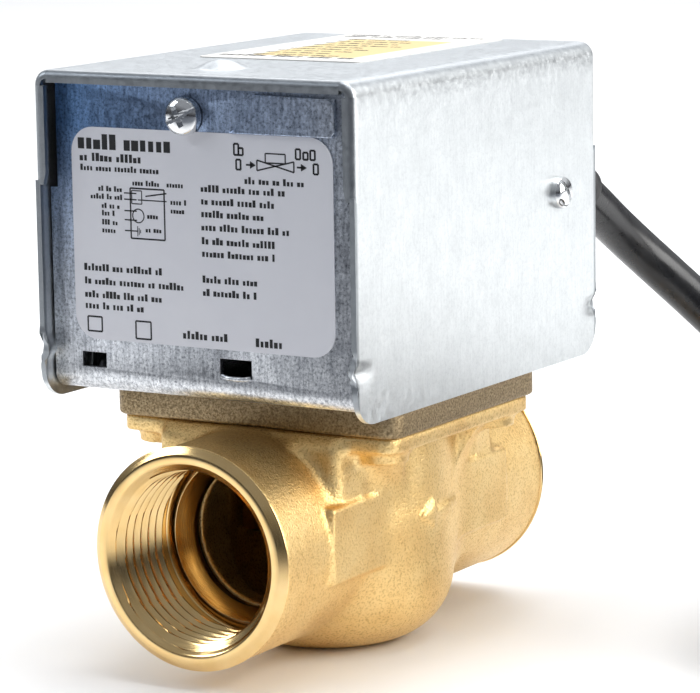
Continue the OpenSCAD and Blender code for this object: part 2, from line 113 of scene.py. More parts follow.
links.new(dimmed.outputs["Vector"], nodes["Background"].inputs["Color"])
nodes["Background"].inputs["Strength"].default_value = 0.75


def new_material(name, colour, roughness, metallic=0.0):
    """A material with its shader's plain values, and its nodes and links."""
    made = bpy.data.materials.new(name)
    made.use_nodes = True
    tree = made.node_tree
    shader = tree.nodes["Principled BSDF"]
    shader.inputs["Base Color"].default_value = (*colour, 1)
    shader.inputs["Roughness"].default_value = roughness
    shader.inputs["Metallic"].default_value = metallic
    return made, tree, shader


def ramp(tree, value, stops):
    """Turns a value into colours or, where the stops are numbers, into a grey that is read as one."""
    made = tree.nodes.new("ShaderNodeValToRGB")
    band = made.color_ramp
    while len(band.elements) < len(stops):
        band.elements.new(0.5)
    for element, (position, colour) in zip(band.elements, stops):
        element.position = position
        element.color = (*colour, 1) if isinstance(colour, tuple) else (colour, colour, colour, 1)
    tree.links.new(value, made.inputs["Fac"])
    return made.outputs["Color"]


def mesh_piece(name, points, faces, material, smooth=True):
    """A mesh at the origin with its place in its points."""
    data = bpy.data.meshes.new(name)
    data.from_pydata([tuple(p) for p in points], [], [tuple(f) for f in faces])
    data.validate()
    data.materials.append(material)
    data.shade_smooth() if smooth else data.shade_flat()
    obj = bpy.data.objects.new(name, data)
    scene.collection.objects.link(obj)
    return obj


def place_ramp(tree, along, low, high, stops):
    """A ramp along one direction of the piece, between two places in millimetres."""
    place = tree.nodes.new("ShaderNodeTexCoord")
    part = tree.nodes.new("ShaderNodeVectorMath")
    part.operation = "DOT_PRODUCT"
    part.inputs[1].default_value = along
    span = tree.nodes.new("ShaderNodeMapRange")
    tree.links.new(place.outputs["Object"], part.inputs[0])
    tree.links.new(part.outputs["Value"], span.inputs["Value"])
    span.inputs["From Min"].default_value = low * mm
    span.inputs["From Max"].default_value = high * mm
    return ramp(tree, span.outputs["Result"], stops)


# The table is pale round the valve; towards the bench's front its colour holds painted shade, a dark room that
# metal reflects.
table_with_painted_shade, tree, shader = new_material("table_with_painted_shade", (0.93, 0.93, 0.93), 0.6)
tree.links.new(place_ramp(tree, (0.517, -0.856, 0), 75, 260, [(0, (0.93, 0.93, 0.93)), (0.6, (0.34, 0.35, 0.37)),
                                                              (1, (0.12, 0.13, 0.15))]),
               shader.inputs["Base Color"])
table = mesh_piece("table", [(-4, -4, 0), (4, -4, 0), (4, 4, 0), (-4, 4, 0)], [(0, 1, 2, 3)],
                   table_with_painted_shade)


# ---- Supply lead ----
# A round six-core lead in a black PVC sheath, 1 m long with 50 mm stripped at its far end. It leaves
# the back wall through a moulded strain relief, drops to the table and is wound up for storage.

lead_d = 8.4 * mm
relief_points = [(19.5, 43.3, 80), (19.5, 48, 80), (19.5, 54, 79.5), (19.5, 60, 78), (19.6, 63, 76.6)]
falling_points = [(19.8, 67, 74.2), (20, 69.5, 72.5), (21, 76, 67.8), (24.5, 82.5, 61.5),
                  (30, 86.8, 55), (36, 89.2, 49), (44, 91, 41.5), (52, 91.5, 34), (60, 91.5, 26.5),
                  (68, 91.5, 19.2), (76, 91.5, 12.8), (84, 91.5, 8), (92, 91.5, 5.4), (99, 91.5, 4.4)]
coil_centre = np.array((105, 49.5)) * mm
coil_r = 42 * mm
turn_rise = 8.5 * mm
turns = 3


def coil_point(turn, radius=coil_r, lift=0.0):
    """A point on the coil after that many turns, clockwise from above, from the far side."""
    angle = 2 * math.pi * turn
    return (coil_centre[0] + radius * math.sin(angle), coil_centre[1] + radius * math.cos(angle),
            lead_d / 2 + turn_rise * turn + lift)


def smooth_line(points, step):
    """A smooth curve through the points, with its own points about a step apart."""
    p = np.array(points, float)
    p = np.vstack([2 * p[0] - p[1], p, 2 * p[-1] - p[-2]])
    made = []
    for a, b, c, d in zip(p, p[1:], p[2:], p[3:]):
        t = np.arange(0, 1, step / max(step, np.linalg.norm(c - b)))[:, None]
        made.append((2 * b + (c - a) * t + (2 * a - 5 * b + 4 * c - d) * t ** 2
                     + (3 * b - a - 3 * c + d) * t ** 3) / 2)
    line = np.vstack([*made, p[-2:-1]])
    for _ in range(12):
        line[1:-1] = (line[:-2] + 2 * line[1:-1] + line[2:]) / 4
    return line


def tube(line, radius, sides):
    """Points and faces of a round tube along a line. radius is one number or one for each point."""
    line = np.array(line, float)
    radius = np.broadcast_to(radius, len(line))
    ahead = np.gradient(line, axis=0)
    ahead /= np.linalg.norm(ahead, axis=1)[:, None]
    side = np.cross(ahead[0], (0.0, 0.0, 1.0))
    side /= np.linalg.norm(side)
    angle = np.arange(sides) * 2 * math.pi / sides
    points = []
    for centre, forward, r in zip(line, ahead, radius):
        side = side - forward * (side @ forward)
        side /= np.linalg.norm(side)
        up = np.cross(forward, side)
        points += list(centre + r * (np.cos(angle)[:, None] * side + np.sin(angle)[:, None] * up))
    faces = [(i * sides + k, (i + 1) * sides + k, (i + 1) * sides + (k + 1) % sides,
              i * sides + (k + 1) % sides) for i in range(len(line) - 1) for k in range(sides)]
    faces.append(tuple(range(sides)))
    faces.append(tuple(reversed(range((len(line) - 1) * sides, len(line) * sides))))
    return points, faces


def outward(obj):
    """Turns every face of a closed piece outwards."""
    shape = bmesh.new()
    shape.from_mesh(obj.data)
    bmesh.ops.recalc_face_normals(shape, faces=shape.faces)
    shape.to_mesh(obj.data)
    shape.free()
    return obj


def noise(tree, size, detail=3.0, stretch=(1, 1, 1), roughness=0.55):
    """Cloudy noise whose patches are about that size in metres, longer along a stretched axis."""
    place = tree.nodes.new("ShaderNodeTexCoord")
    scale = tree.nodes.new("ShaderNodeMapping")
    scale.inputs["Scale"].default_value = [1 / s for s in stretch]
    made = tree.nodes.new("ShaderNodeTexNoise")
    made.inputs["Scale"].default_value = 1 / size
    made.inputs["Detail"].default_value = detail
    made.inputs["Roughness"].default_value = roughness
    tree.links.new(place.outputs["Object"], scale.inputs["Vector"])
    tree.links.new(scale.outputs["Vector"], made.inputs["Vector"])
    return made.outputs["Fac"]


def bump(tree, shader, height, depth, strength=1.0, before=None):
    """Fine relief of that depth in metres."""
    made = tree.nodes.new("ShaderNodeBump")
    made.inputs["Distance"].default_value = depth
    made.inputs["Strength"].default_value = strength
    tree.links.new(height, made.inputs["Height"])
    if before is not None:
        tree.links.new(before, made.inputs["Normal"])
    tree.links.new(made.outputs["Normal"], shader.inputs["Normal"])
    return made.outputs["Normal"]


def fit(obj, body, slot, *stands_for):
    """Fixes a finished piece to its body, in place of the CAD nodes that it stands for."""
    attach(obj, body)
    if stands_for:
        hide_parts(*stands_for)
    return obj


wound = [coil_point(i / 60) for i in range(60 * turns + 1)]
lead_line = smooth_line(np.vstack([np.array(relief_points + falling_points) * mm, wound]), 1.6 * mm)

black_pvc, tree, shader = new_material("black_pvc", (0.012, 0.012, 0.013), 0.28)
shader.inputs["Specular IOR Level"].default_value = 0.6
tree.links.new(ramp(tree, noise(tree, 6 * mm), [(0.3, 0.22), (0.8, 0.36)]), shader.inputs["Roughness"])
tree.links.new(ramp(tree, noise(tree, 3 * mm), [(0.3, (0.010, 0.010, 0.011)), (0.8, (0.022, 0.022, 0.024))]),
               shader.inputs["Base Color"])
bump(tree, shader, noise(tree, 0.5 * mm, 2), 0.02 * mm)

end_ease = np.ones(len(lead_line))
end_ease[-2:] = (0.99, 0.94)
lead = outward(mesh_piece("supply_lead_sheath", *tube(lead_line, lead_d / 2 * end_ease, 28), black_pvc))
fit(lead, "valve", "lead_sheath", "supply_lead", "lead_coil")


# ---- Stripped cores ----
# Six stranded cores in coloured PVC come out of the sheath's cut end and lie back on the coil, each
# with a few millimetres of bare tinned copper.

core_colours = {"brown": (0.18, 0.06, 0.02), "blue": (0.02, 0.12, 0.55), "grey": (0.30, 0.31, 0.32),
                "orange": (0.80, 0.22, 0.02), "white": (0.85, 0.85, 0.83), "earth": (0.08, 0.45, 0.05)}
core_d = 2.3 * mm
core_pitch = 2.35 * mm
core_step = 0.8 * mm
bare_length = 4 * mm
tinned, tree, shader = new_material("tinned_copper", (0.80, 0.62, 0.50), 0.3, 1)
bump(tree, shader, noise(tree, 0.25 * mm, 1, (1, 1, 6)), 0.05 * mm)
for n, (core_name, colour) in enumerate(core_colours.items()):
    layer, column = n // 3, n % 3 - 1
    aside, above = column * core_pitch, (layer - 0.35) * core_pitch
    start = np.array(coil_point(turns - 0.006))
    path = [start + (0, column * 1.2 * mm, (layer - 0.5) * 2 * mm)]
    for turn, share in ((0.012, 0.15), (0.028, 0.45), (0.05, 0.85), (0.075, 1), (0.105, 1), (0.135, 1),
                        (0.165, 1), (0.178 + 0.003 * n, 1)):
        on_coil = np.array(coil_point(turns - 1 + turn, coil_r + aside, lead_d / 2 + core_d / 2))
        on_end = np.array(coil_point(turns + turn, coil_r + column * 1.2 * mm, 0))
        lift = np.array((0, 0, (above + 0.35 * core_pitch) * share + (layer - 0.5) * 2 * mm * (1 - share)))
        path.append(on_end * (1 - share) + on_coil * share + lift)
    line = smooth_line(path, core_step)
    bare = int(bare_length / core_step)
    pvc, tree, shader = new_material(f"{core_name}_core_pvc", colour, 0.35)
    if core_name == "earth":
        stripe = ramp(tree, noise(tree, 3.2 * mm, 0), [(0.47, colour), (0.5, (0.85, 0.75, 0.02))])
        tree.links.new(stripe, shader.inputs["Base Color"])
    else:
        tone = [(0.2, tuple(c * 0.8 for c in colour)), (0.8, tuple(min(1, c * 1.15) for c in colour))]
        tree.links.new(ramp(tree, noise(tree, 4 * mm), tone), shader.inputs["Base Color"])
    bump(tree, shader, noise(tree, 0.6 * mm, 1), 0.02 * mm)
    points, faces = tube(line[:-bare], core_d / 2, 14)
    core = outward(mesh_piece(f"core_{core_name}", points, faces, pvc))
    core.data.materials.append(tinned)
    shape = bmesh.new()
    shape.from_mesh(core.data)
    strand_points, strand_faces = tube(line[-bare - 2:], core_d * 0.3, 10)
    corners = [shape.verts.new(p) for p in strand_points]
    for face in strand_faces:
        made = shape.faces.new([corners[i] for i in face])
        made.material_index = 1
        made.smooth = True
    bmesh.ops.recalc_face_normals(shape, faces=shape.faces)
    shape.to_mesh(core.data)
    shape.free()
    fit(core, "valve", "wire_cores", *(["wire_tails"] if n == 0 else []))


# ---- Coil tie ----
# A nylon strap round the three turns, with its square head on the outside and its tail cut short.

nylon, tree, shader = new_material("natural_nylon", (0.80, 0.79, 0.74), 0.42)
shader.inputs["Subsurface Weight"].default_value = 0.15
shader.inputs["Subsurface Radius"].default_value = (0.002, 0.002, 0.0015)
tree.links.new(ramp(tree, noise(tree, 2 * mm), [(0.2, (0.74, 0.73, 0.68)), (0.8, (0.84, 0.83, 0.79))]),
               shader.inputs["Base Color"])
bump(tree, shader, noise(tree, 0.4 * mm, 1), 0.02 * mm)
tie_low, tie_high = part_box("coil_tie")
tie_centre_y = coil_centre[1] - coil_r
tie_half_y = lead_d / 2 + 0.55 * mm
tie_w, tie_t = 3.6 * mm, 1.0 * mm
tie_head, tie_head_z = (4 * mm, 1.9 * mm, 5.4 * mm), 17 * mm
strap = []
tie_bottom, tie_top = tie_low.z + tie_t / 2, tie_high.z - tie_t / 2
corner_r = 3 * mm
for cy, cz, first in ((1, -1, -90), (1, 1, 0), (-1, 1, 90), (-1, -1, 180)):
    for step in range(7):
        a = math.radians(first + step * 15)
        strap.append((tie_centre_y + cy * (tie_half_y - corner_r) + corner_r * math.cos(a),
                      (tie_bottom + tie_top) / 2 + cz * ((tie_top - tie_bottom) / 2 - corner_r)
                      + corner_r * math.sin(a)))
loop = len(strap)
shape = bmesh.new()
rings = []
for y, z in strap:
    dy, dz = y - tie_centre_y, z - (tie_bottom + tie_top) / 2
    far = math.hypot(dy, dz)
    rings.append([shape.verts.new((coil_centre[0] + x * tie_w / 2, y + dy / far * out * tie_t / 2,
                                   z + dz / far * out * tie_t / 2))
                  for x, out in ((-1, -1), (1, -1), (1, 1), (-1, 1))])
for i in range(loop):
    for k in range(4):
        shape.faces.new((rings[i][k], rings[(i + 1) % loop][k], rings[(i + 1) % loop][(k + 1) % 4],
                         rings[i][(k + 1) % 4]))
head = bmesh.ops.create_cube(shape, size=1)["verts"]
bmesh.ops.scale(shape, vec=tie_head, verts=head)
bmesh.ops.translate(shape, vec=(coil_centre[0], tie_low.y + tie_head[1] / 2, tie_head_z), verts=head)
bmesh.ops.recalc_face_normals(shape, faces=shape.faces)
data = bpy.data.meshes.new("coil_tie_strap")
shape.to_mesh(data)
shape.free()
data.materials.append(nylon)
tie = bpy.data.objects.new("coil_tie_strap", data)
scene.collection.objects.link(tie)
ease = tie.modifiers.new("ease", "BEVEL")
ease.width = 0.25 * mm
ease.segments = 2
ease.harden_normals = True
fit(tie, "valve", "tie_nylon", "coil_tie")


# ---- Strain relief ----
# A black moulded sleeve that grips the lead at the back wall and tapers along it. Ring-shaped grooves
# let it bend with the lead.

moulded_black, tree, shader = new_material("moulded_black", (0.02, 0.02, 0.021), 0.5)
tree.links.new(ramp(tree, noise(tree, 2.5 * mm), [(0.2, 0.42), (0.8, 0.6)]), shader.inputs["Roughness"])
bump(tree, shader, noise(tree, 0.3 * mm, 2), 0.03 * mm)
relief_start_r, relief_end_r = 6.4 * mm, lead_d / 2 + 0.7 * mm
groove_depth = 0.7 * mm
relief_fine = smooth_line(np.array(relief_points) * mm, 0.35 * mm)
share = np.linspace(0, 1, len(relief_fine))
relief_r = relief_start_r + (relief_end_r - relief_start_r) * share
grooves = np.clip(np.sin(share * 2 * math.pi * 6.5 - 1.2), 0.2, 1) - 0.2
grooves[(share < 0.12) | (share > 0.92)] = 0
relief_r = relief_r - groove_depth * grooves
relief_r[-1] -= 0.35 * mm
relief = outward(mesh_piece("strain_relief_sleeve", *tube(relief_fine, relief_r, 36), moulded_black))
fit(relief, "valve", "nylon_black", "strain_relief")


# ---- Valve body ----
# A hot-stamped brass body, shot-blasted all over: two port bosses along the pipe, a round chamber
# with a bowl under it, a flange for the bonnet, spanner flats and a flow arrow on each side.

body_high = np.array(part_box("valve_body")[1]) / mm
flange_z = body_high[2]
half_len = body_high[1]
pipe_z = 23.5
port_r = 20.0
cast_r = port_r - 0.3
chamber_r = 22.8
bowl_r = 13.0
bore_r = 13.06
cell = 0.595


def blended(a, b, r):
    """Joins two shapes' distance fields with a fillet of about that size."""
    near = np.maximum(r - np.abs(a - b), 0) / r
    return np.minimum(a, b) - near * near * r / 4


def cut(a, b, r):
    """Takes shape b from shape a, with an eased edge."""
    return -blended(-a, b, r)


def block(x, y, z, middle, half, ease):
    """Distance field of an eased block."""
    d = [np.abs(v - m) - (h - ease) for v, m, h in zip((x, y, z), middle, half)]
    outside = np.sqrt(sum(np.maximum(v, 0) ** 2 for v in d))
    return outside + np.minimum(np.maximum(np.maximum(d[0], d[1]), d[2]), 0) - ease


def skin(field, corner, cell):
    """The surface where a field on a grid is zero, as points and four-sided faces."""
    index = np.full(np.array(field.shape) - 1, -1)
    inner = [slice(0, -1), slice(1, None)]
    low = sum((field[inner[a], inner[b], inner[c]] < 0).astype(np.int8)
              for a in (0, 1) for b in (0, 1) for c in (0, 1))
    cells = np.argwhere((low > 0) & (low < 8))
    index[tuple(cells.T)] = np.arange(len(cells))
    total, hits = np.zeros((len(cells), 3)), np.zeros(len(cells))
    for axis in range(3):
        for u in (0, 1):
            for v in (0, 1):
                start = np.roll((0, u, v), axis)
                end = start + np.eye(3, dtype=int)[axis]
                a, b = field[tuple((cells + start).T)], field[tuple((cells + end).T)]
                crossed = (a < 0) != (b < 0)
                share = np.where(crossed, a / np.where(crossed, a - b, 1), 0)
                total += (start + share[:, None] * (end - start)) * crossed[:, None]
                hits += crossed
    points = corner + (cells + total / hits[:, None]) * cell
    faces = []
    for axis in range(3):
        step = np.eye(3, dtype=int)
        one, two = step[(axis + 1) % 3], step[(axis + 2) % 3]
        here = [slice(1, -1)] * 3
        there = [slice(1, -1)] * 3
        here[axis], there[axis] = slice(0, -1), slice(1, None)
        a, b = field[tuple(here)], field[tuple(there)]
        at = np.argwhere((a < 0) != (b < 0))
        within = a[tuple(at.T)] < 0
        at = at + 1 - step[axis]
        quad = np.stack([index[tuple((at - one - two).T)], index[tuple((at - two).T)],
                         index[tuple(at.T)], index[tuple((at - one).T)]], axis=1)
        faces.append(np.where(within[:, None], quad, quad[:, ::-1]))
    return points, np.vstack(faces)


def body_field(x, y, z):
    """Distance field of the casting in millimetres. It is the same to both sides and both ends."""
    ax, ay = np.abs(x), np.abs(y)
    around = np.hypot(x, y)
    # The two port bosses along the pipe, and the round chamber with its bowl.
    boss = np.maximum(np.hypot(x, z - pipe_z) - cast_r, ay - (half_len - 1.2))
    bowl = np.hypot(np.maximum(around - (chamber_r - bowl_r), 0), bowl_r - z) - bowl_r
    chamber = np.maximum(np.where(z > bowl_r, around - chamber_r, bowl), z - (flange_z - 1))
    shape = blended(boss, chamber, 4)
    # The shoulders widen upwards, from the pipe out to the flange's corners.
    rise = (z - 29.5) / 11
    fan = -blended((17 + 9 * rise - ax) * 0.78, (19.6 + 4.6 * rise - ay) * 0.92, 9)
    fan = np.maximum(fan, np.maximum(np.abs(z - 35.5) - 6, 11.4 - ay))
    shape = blended(shape, fan, 5)
    web = block(ax, ay, z, (13.5, 23.6, 33), (5.6, 4.6, 9.5), 2.2)
    shape = blended(shape, web, 2.4)
    # A spanner flat on each side of each boss, and a round boss under each bonnet screw.
    pad = block(ax, ay, z, (12, 21.8, 24.4), (8.1, 10, 6.9), 0.3)
    shape = blended(shape, pad, 0.5)
    screw_boss = np.maximum(np.hypot(ax - 23.5, ay - 19.5) - 4.2, np.abs(z - 40.6) - 2.6)
    shape = blended(shape, screw_boss, 1.2)
    # The flange, with round corners.
    tier = block(x, y, z, (0, 0, flange_z - 1.5), (28.75, 25.75, 1.5), 0.5)
    corner = np.hypot(np.maximum(ax - 25.55, 0), np.maximum(ay - 22.55, 0)) - 3.2
    tier = np.maximum(tier, corner)
    shape = blended(shape, tier, 1.6)
    # The flow arrow, raised on each side of the chamber.
    shaft = block(ax, y, z, (22.6, 4.2, pipe_z + 1.8), (1.0, 6.2, 1.15), 0.5)
    head_w = (y + 5.6) * 0.62
    head = np.maximum(np.maximum(np.abs(z - pipe_z - 1.8) - head_w, y + 1.2), np.abs(ax - 22.6) - 1.0)
    shape = blended(shape, np.maximum(np.minimum(shaft, head), around - (chamber_r + 0.85)), 0.3)
    # What the ports, the bore between them and the chamber's inside take away.
    port = np.maximum(np.hypot(x, z - pipe_z) - 17.9, 23 - ay)
    way = np.hypot(x, z - pipe_z) - bore_r
    room = np.where(z > 13.7, around - 19, np.hypot(np.maximum(around - 9.5, 0), 13.7 - z) - 9.5)
    shape = np.maximum(shape, -port)
    shape = cut(shape, way, 0.6)
    return cut(shape, room, 0.6)


reach = np.array((29.5, half_len, 0)) + 1
corner = np.array((-reach[0], -reach[1], -1.5))
count = [int(n / cell) for n in (2 * reach[0], 2 * reach[1], flange_z + 3)]
grid = np.meshgrid(*[c + np.arange(n) * cell for c, n in zip(corner, count)], indexing="ij")
points, faces = skin(body_field(*grid), corner, cell)
points[:, 2] = np.clip(points[:, 2], 0, flange_z)

cast_brass, tree, shader = new_material("shot_blasted_brass", (0.80, 0.50, 0.17), 0.4, 1)
grain = noise(tree, 0.42 * mm, 2, roughness=0.7)
patches = noise(tree, 9 * mm, 4)
tone = ramp(tree, patches, [(0.25, (0.84, 0.56, 0.23)), (0.5, (0.93, 0.67, 0.30)), (0.8, (0.97, 0.74, 0.37))])
speck = ramp(tree, grain, [(0.34, (0.60, 0.50, 0.36)), (0.5, (1, 1, 1))])
mixed = tree.nodes.new("ShaderNodeMix")
mixed.data_type = "RGBA"
mixed.blend_type = "MULTIPLY"
mixed.inputs["Factor"].default_value = 0.7
tree.links.new(tone, mixed.inputs["A"])
tree.links.new(speck, mixed.inputs["B"])
tree.links.new(mixed.outputs["Result"], shader.inputs["Base Color"])
tree.links.new(ramp(tree, grain, [(0.3, 0.5), (0.75, 0.34)]), shader.inputs["Roughness"])
fine = bump(tree, shader, grain, 0.16 * mm, 0.9)
bump(tree, shader, noise(tree, 2.6 * mm, 3), 0.25 * mm, 0.35, fine)

casting = mesh_piece("valve_body_casting", points * mm, faces, cast_brass)
fit(casting, "valve", "cast_brass", "valve_body")


# ---- Machined ports ----
# Each boss is faced and bored on a lathe: a chamfered ring, a countersink, a 1 inch parallel pipe
# thread, a run-out groove, a short cone and the bore. Both threads are right-handed.

thread_pitch = 2.309
thread_r = 15.15
thread_depth = 1.45
thread_end = 15.6
sides = 144


def port_radius(depth, angle):
    """Radius inside the port at a depth from its face, in millimetres."""
    wave = np.abs(((depth / thread_pitch - angle / (2 * math.pi)) % 1) * 2 - 1) * 2 - 1
    thread = thread_r + thread_depth * (0.5 + 0.5 * np.clip(wave * 1.3, -1, 1))
    if depth > thread_end:
        return np.full_like(angle, 16.9)
    return np.maximum(thread, 17.15 - depth)


outside = [(23.2, 18.3), (2.0, 18.3), (1.7, 19.2), (1.35, port_r - 0.12), (1.15, port_r), (1.0, port_r - 0.04),
           (0.06, port_r - 1.3), (0, port_r - 1.42), (0, 18.0), (0, 17.3), (0.05, 17.17)]
inside = [(18.35, 16.9), (18.5, 16.7), (18.5, 15.1), (18.55, 15.0), (21.7, 13.12), (21.9, bore_r),
          (23.2, bore_r)]
angle = np.arange(sides) * 2 * math.pi / sides
rows = [(depth, np.full(sides, r)) for depth, r in outside]
rows += [(depth, port_radius(depth, angle)) for depth in np.arange(0.15, thread_end + 0.3, 0.192)]
rows += [(depth, np.full(sides, r)) for depth, r in inside]
ring_points = np.vstack([np.stack([r * np.sin(angle), np.full(sides, depth - half_len),
                                   pipe_z + r * np.cos(angle)], axis=1) for depth, r in rows])
ring_faces = [(i * sides + k, i * sides + (k + 1) % sides, (i + 1) % len(rows) * sides + (k + 1) % sides,
               (i + 1) % len(rows) * sides + k) for i in range(len(rows)) for k in range(sides)]
turned_round = ring_points * (-1, -1, 1)
both_faces = ring_faces + [tuple(i + len(ring_points) for i in face) for face in ring_faces]

cut_brass, tree, shader = new_material("turned_brass", (0.88, 0.60, 0.26), 0.16, 1)
stain = noise(tree, 6 * mm, 3)
tree.links.new(ramp(tree, stain, [(0.3, (0.84, 0.56, 0.23)), (0.75, (0.92, 0.67, 0.33))]),
               shader.inputs["Base Color"])
lathe = noise(tree, 0.16 * mm, 2, (40, 1, 40))
tree.links.new(ramp(tree, lathe, [(0.3, 0.12), (0.75, 0.24)]), shader.inputs["Roughness"])
bump(tree, shader, lathe, 0.02 * mm, 0.6)
ports = mesh_piece("machined_ports", np.vstack([ring_points, turned_round]) * mm, both_faces, cut_brass)
outward(ports)
for polygon in ports.data.polygons:
    polygon.use_smooth = True
ports.data.set_sharp_from_angle(angle=math.radians(28))
fit(ports, "valve", "cast_brass", "valve_body")


# ---- Bonnet plate ----
# A brass plate that closes the chamber and carries the head, held by four socket screws that pass
# through it. Its edges are eased, and it is blasted like the body, but its brass is painted much darker: painted
# shade for the shadow under the cover's overhang.


def plan_outline(w, d, r, steps=8):
    """Corner points of a rectangle with round corners, round its middle."""
    places = [(w / 2 - r, d / 2 - r, 0), (r - w / 2, d / 2 - r, 90), (r - w / 2, r - d / 2, 180),
              (w / 2 - r, r - d / 2, 270)]
    quarter = [math.radians(90 * i / steps) for i in range(steps + 1)]
    return [(x + r * math.cos(math.radians(a) + b), y + r * math.sin(math.radians(a) + b))
            for x, y, a in places for b in quarter]


def stacked(levels):
    """Points and faces of a closed piece from outlines of equal length at rising heights."""
    n = len(levels[0][0])
    points = [(x, y, z) for outline, z in levels for x, y in outline]
    faces = [tuple(reversed(range(n))), tuple(range((len(levels) - 1) * n, len(levels) * n))]
    faces += [(i * n + k, i * n + (k + 1) % n, (i + 1) * n + (k + 1) % n, (i + 1) * n + k)
              for i in range(len(levels) - 1) for k in range(n)]
    return points, faces


plate_low, plate_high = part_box("bonnet_plate")
plate_w, plate_d = plate_high.x - plate_low.x, plate_high.y - plate_low.y
edge = 0.7 * mm
land_z = plate_low.z + 5.1 * mm


def eased(w, d, r, z0, z1, ease):
    """Levels of a plate with rounded upper and lower edges."""
    made = []
    for z, sign, angles in ((z0, 1, (90, 67.5, 45, 22.5, 0)), (z1, -1, (0, 22.5, 45, 67.5, 90))):
        for a in map(math.radians, angles):
            inset, up = ease * (1 - math.cos(a)), ease * (1 - math.sin(a))
            made.append((plan_outline(w - 2 * inset, d - 2 * inset, max(0.2 * mm, r - inset)), z + sign * up))
    return made


# Painted shade: a dark copy of the body's blasted brass, standing in for the shadow under the cover's overhang.
brass_in_painted_shade, tree, shader = new_material("brass_painted_shade_copy", (0.42, 0.33, 0.20), 0.42, 1)
grain = noise(tree, 0.42 * mm, 2, roughness=0.7)
tree.links.new(ramp(tree, grain, [(0.34, (0.20, 0.145, 0.08)), (0.5, (0.33, 0.245, 0.14)),
                                  (0.68, (0.48, 0.37, 0.22))]), shader.inputs["Base Color"])
tree.links.new(ramp(tree, grain, [(0.3, 0.52), (0.75, 0.36)]), shader.inputs["Roughness"])
bump(tree, shader, grain, 0.16 * mm, 0.9)
levels = eased(plate_w, plate_d, 3.6 * mm, plate_low.z, land_z, edge)
levels += [(plan_outline(36.6 * mm, 48.6 * mm, 3 * mm), land_z + 0.02 * mm),
           (plan_outline(36 * mm, 48 * mm, 3 * mm), land_z + 0.3 * mm),
           (plan_outline(36 * mm, 48 * mm, 3 * mm), plate_high.z)]
bonnet = outward(mesh_piece("bonnet_plate_casting", *stacked(levels), brass_in_painted_shade))
bonnet.data.set_sharp_from_angle(angle=math.radians(50))
fit(bonnet, "valve", "cast_brass", "bonnet_plate")


# ---- Chassis ----
# The head's base: one zinc-plated steel sheet 1 mm thick, pierced and bent up into two end walls,
# with a raised flap at the front. Its plating has rolling marks and a blue passivation tint, with a painted blue
# reflection that is strongest high up, to the left and on the front face.


def eased_copy(name, nodes, material, ease=0.15 * mm, sharp=30):
    """A piece with the fitted shape of some nodes, its flat faces joined up and its edges eased."""
    shape = bmesh.new()
    for node in nodes:
        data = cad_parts[node].data.copy()
        data.transform(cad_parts[node].matrix_world)
        shape.from_mesh(data)
        bpy.data.meshes.remove(data)
    bmesh.ops.remove_doubles(shape, verts=shape.verts, dist=0.002 * mm)
    bmesh.ops.dissolve_limit(shape, angle_limit=math.radians(0.6), verts=shape.verts, edges=shape.edges)
    data = bpy.data.meshes.new(name)
    shape.to_mesh(data)
    shape.free()
    data.materials.clear()
    data.materials.append(material)
    data.shade_smooth()
    obj = bpy.data.objects.new(name, data)
    scene.collection.objects.link(obj)
    return softened(obj, ease, sharp)


def softened(obj, ease, sharp=30):
    """Rounds a piece's sharp edges."""
    bevel = obj.modifiers.new("eased_edges", "BEVEL")
    bevel.width = ease
    bevel.segments = 2
    bevel.limit_method = "ANGLE"
    bevel.angle_limit = math.radians(sharp)
    bevel.harden_normals = True
    return obj


def prism(outline, low, high, axis):
    """Points and faces of an outline pushed through a distance along an axis."""
    n = len(outline)
    points = []
    for depth in (low, high):
        for a, b in outline:
            points.append([(depth, a, b), (a, depth, b), (a, b, depth)][axis])
    faces = [tuple(range(n)), tuple(range(n, 2 * n))]
    faces += [(k, (k + 1) % n, n + (k + 1) % n, n + k) for k in range(n)]
    return np.array(points) * mm, faces


def mix(tree, a, b, factor, blend="MIX"):
    """Mixes two colours. Each of the three may be a node's output or a value."""
    made = tree.nodes.new("ShaderNodeMix")
    made.data_type = "RGBA"
    made.blend_type = blend
    for name, value in (("A", a), ("B", b), ("Factor", factor)):
        socket = next(s for s in made.inputs if s.name == name and s.enabled)
        if isinstance(value, bpy.types.NodeSocket):
            tree.links.new(value, socket)
        else:
            socket.default_value = (*value, 1) if isinstance(value, tuple) else value
    return next(s for s in made.outputs if s.name == "Result" and s.enabled)


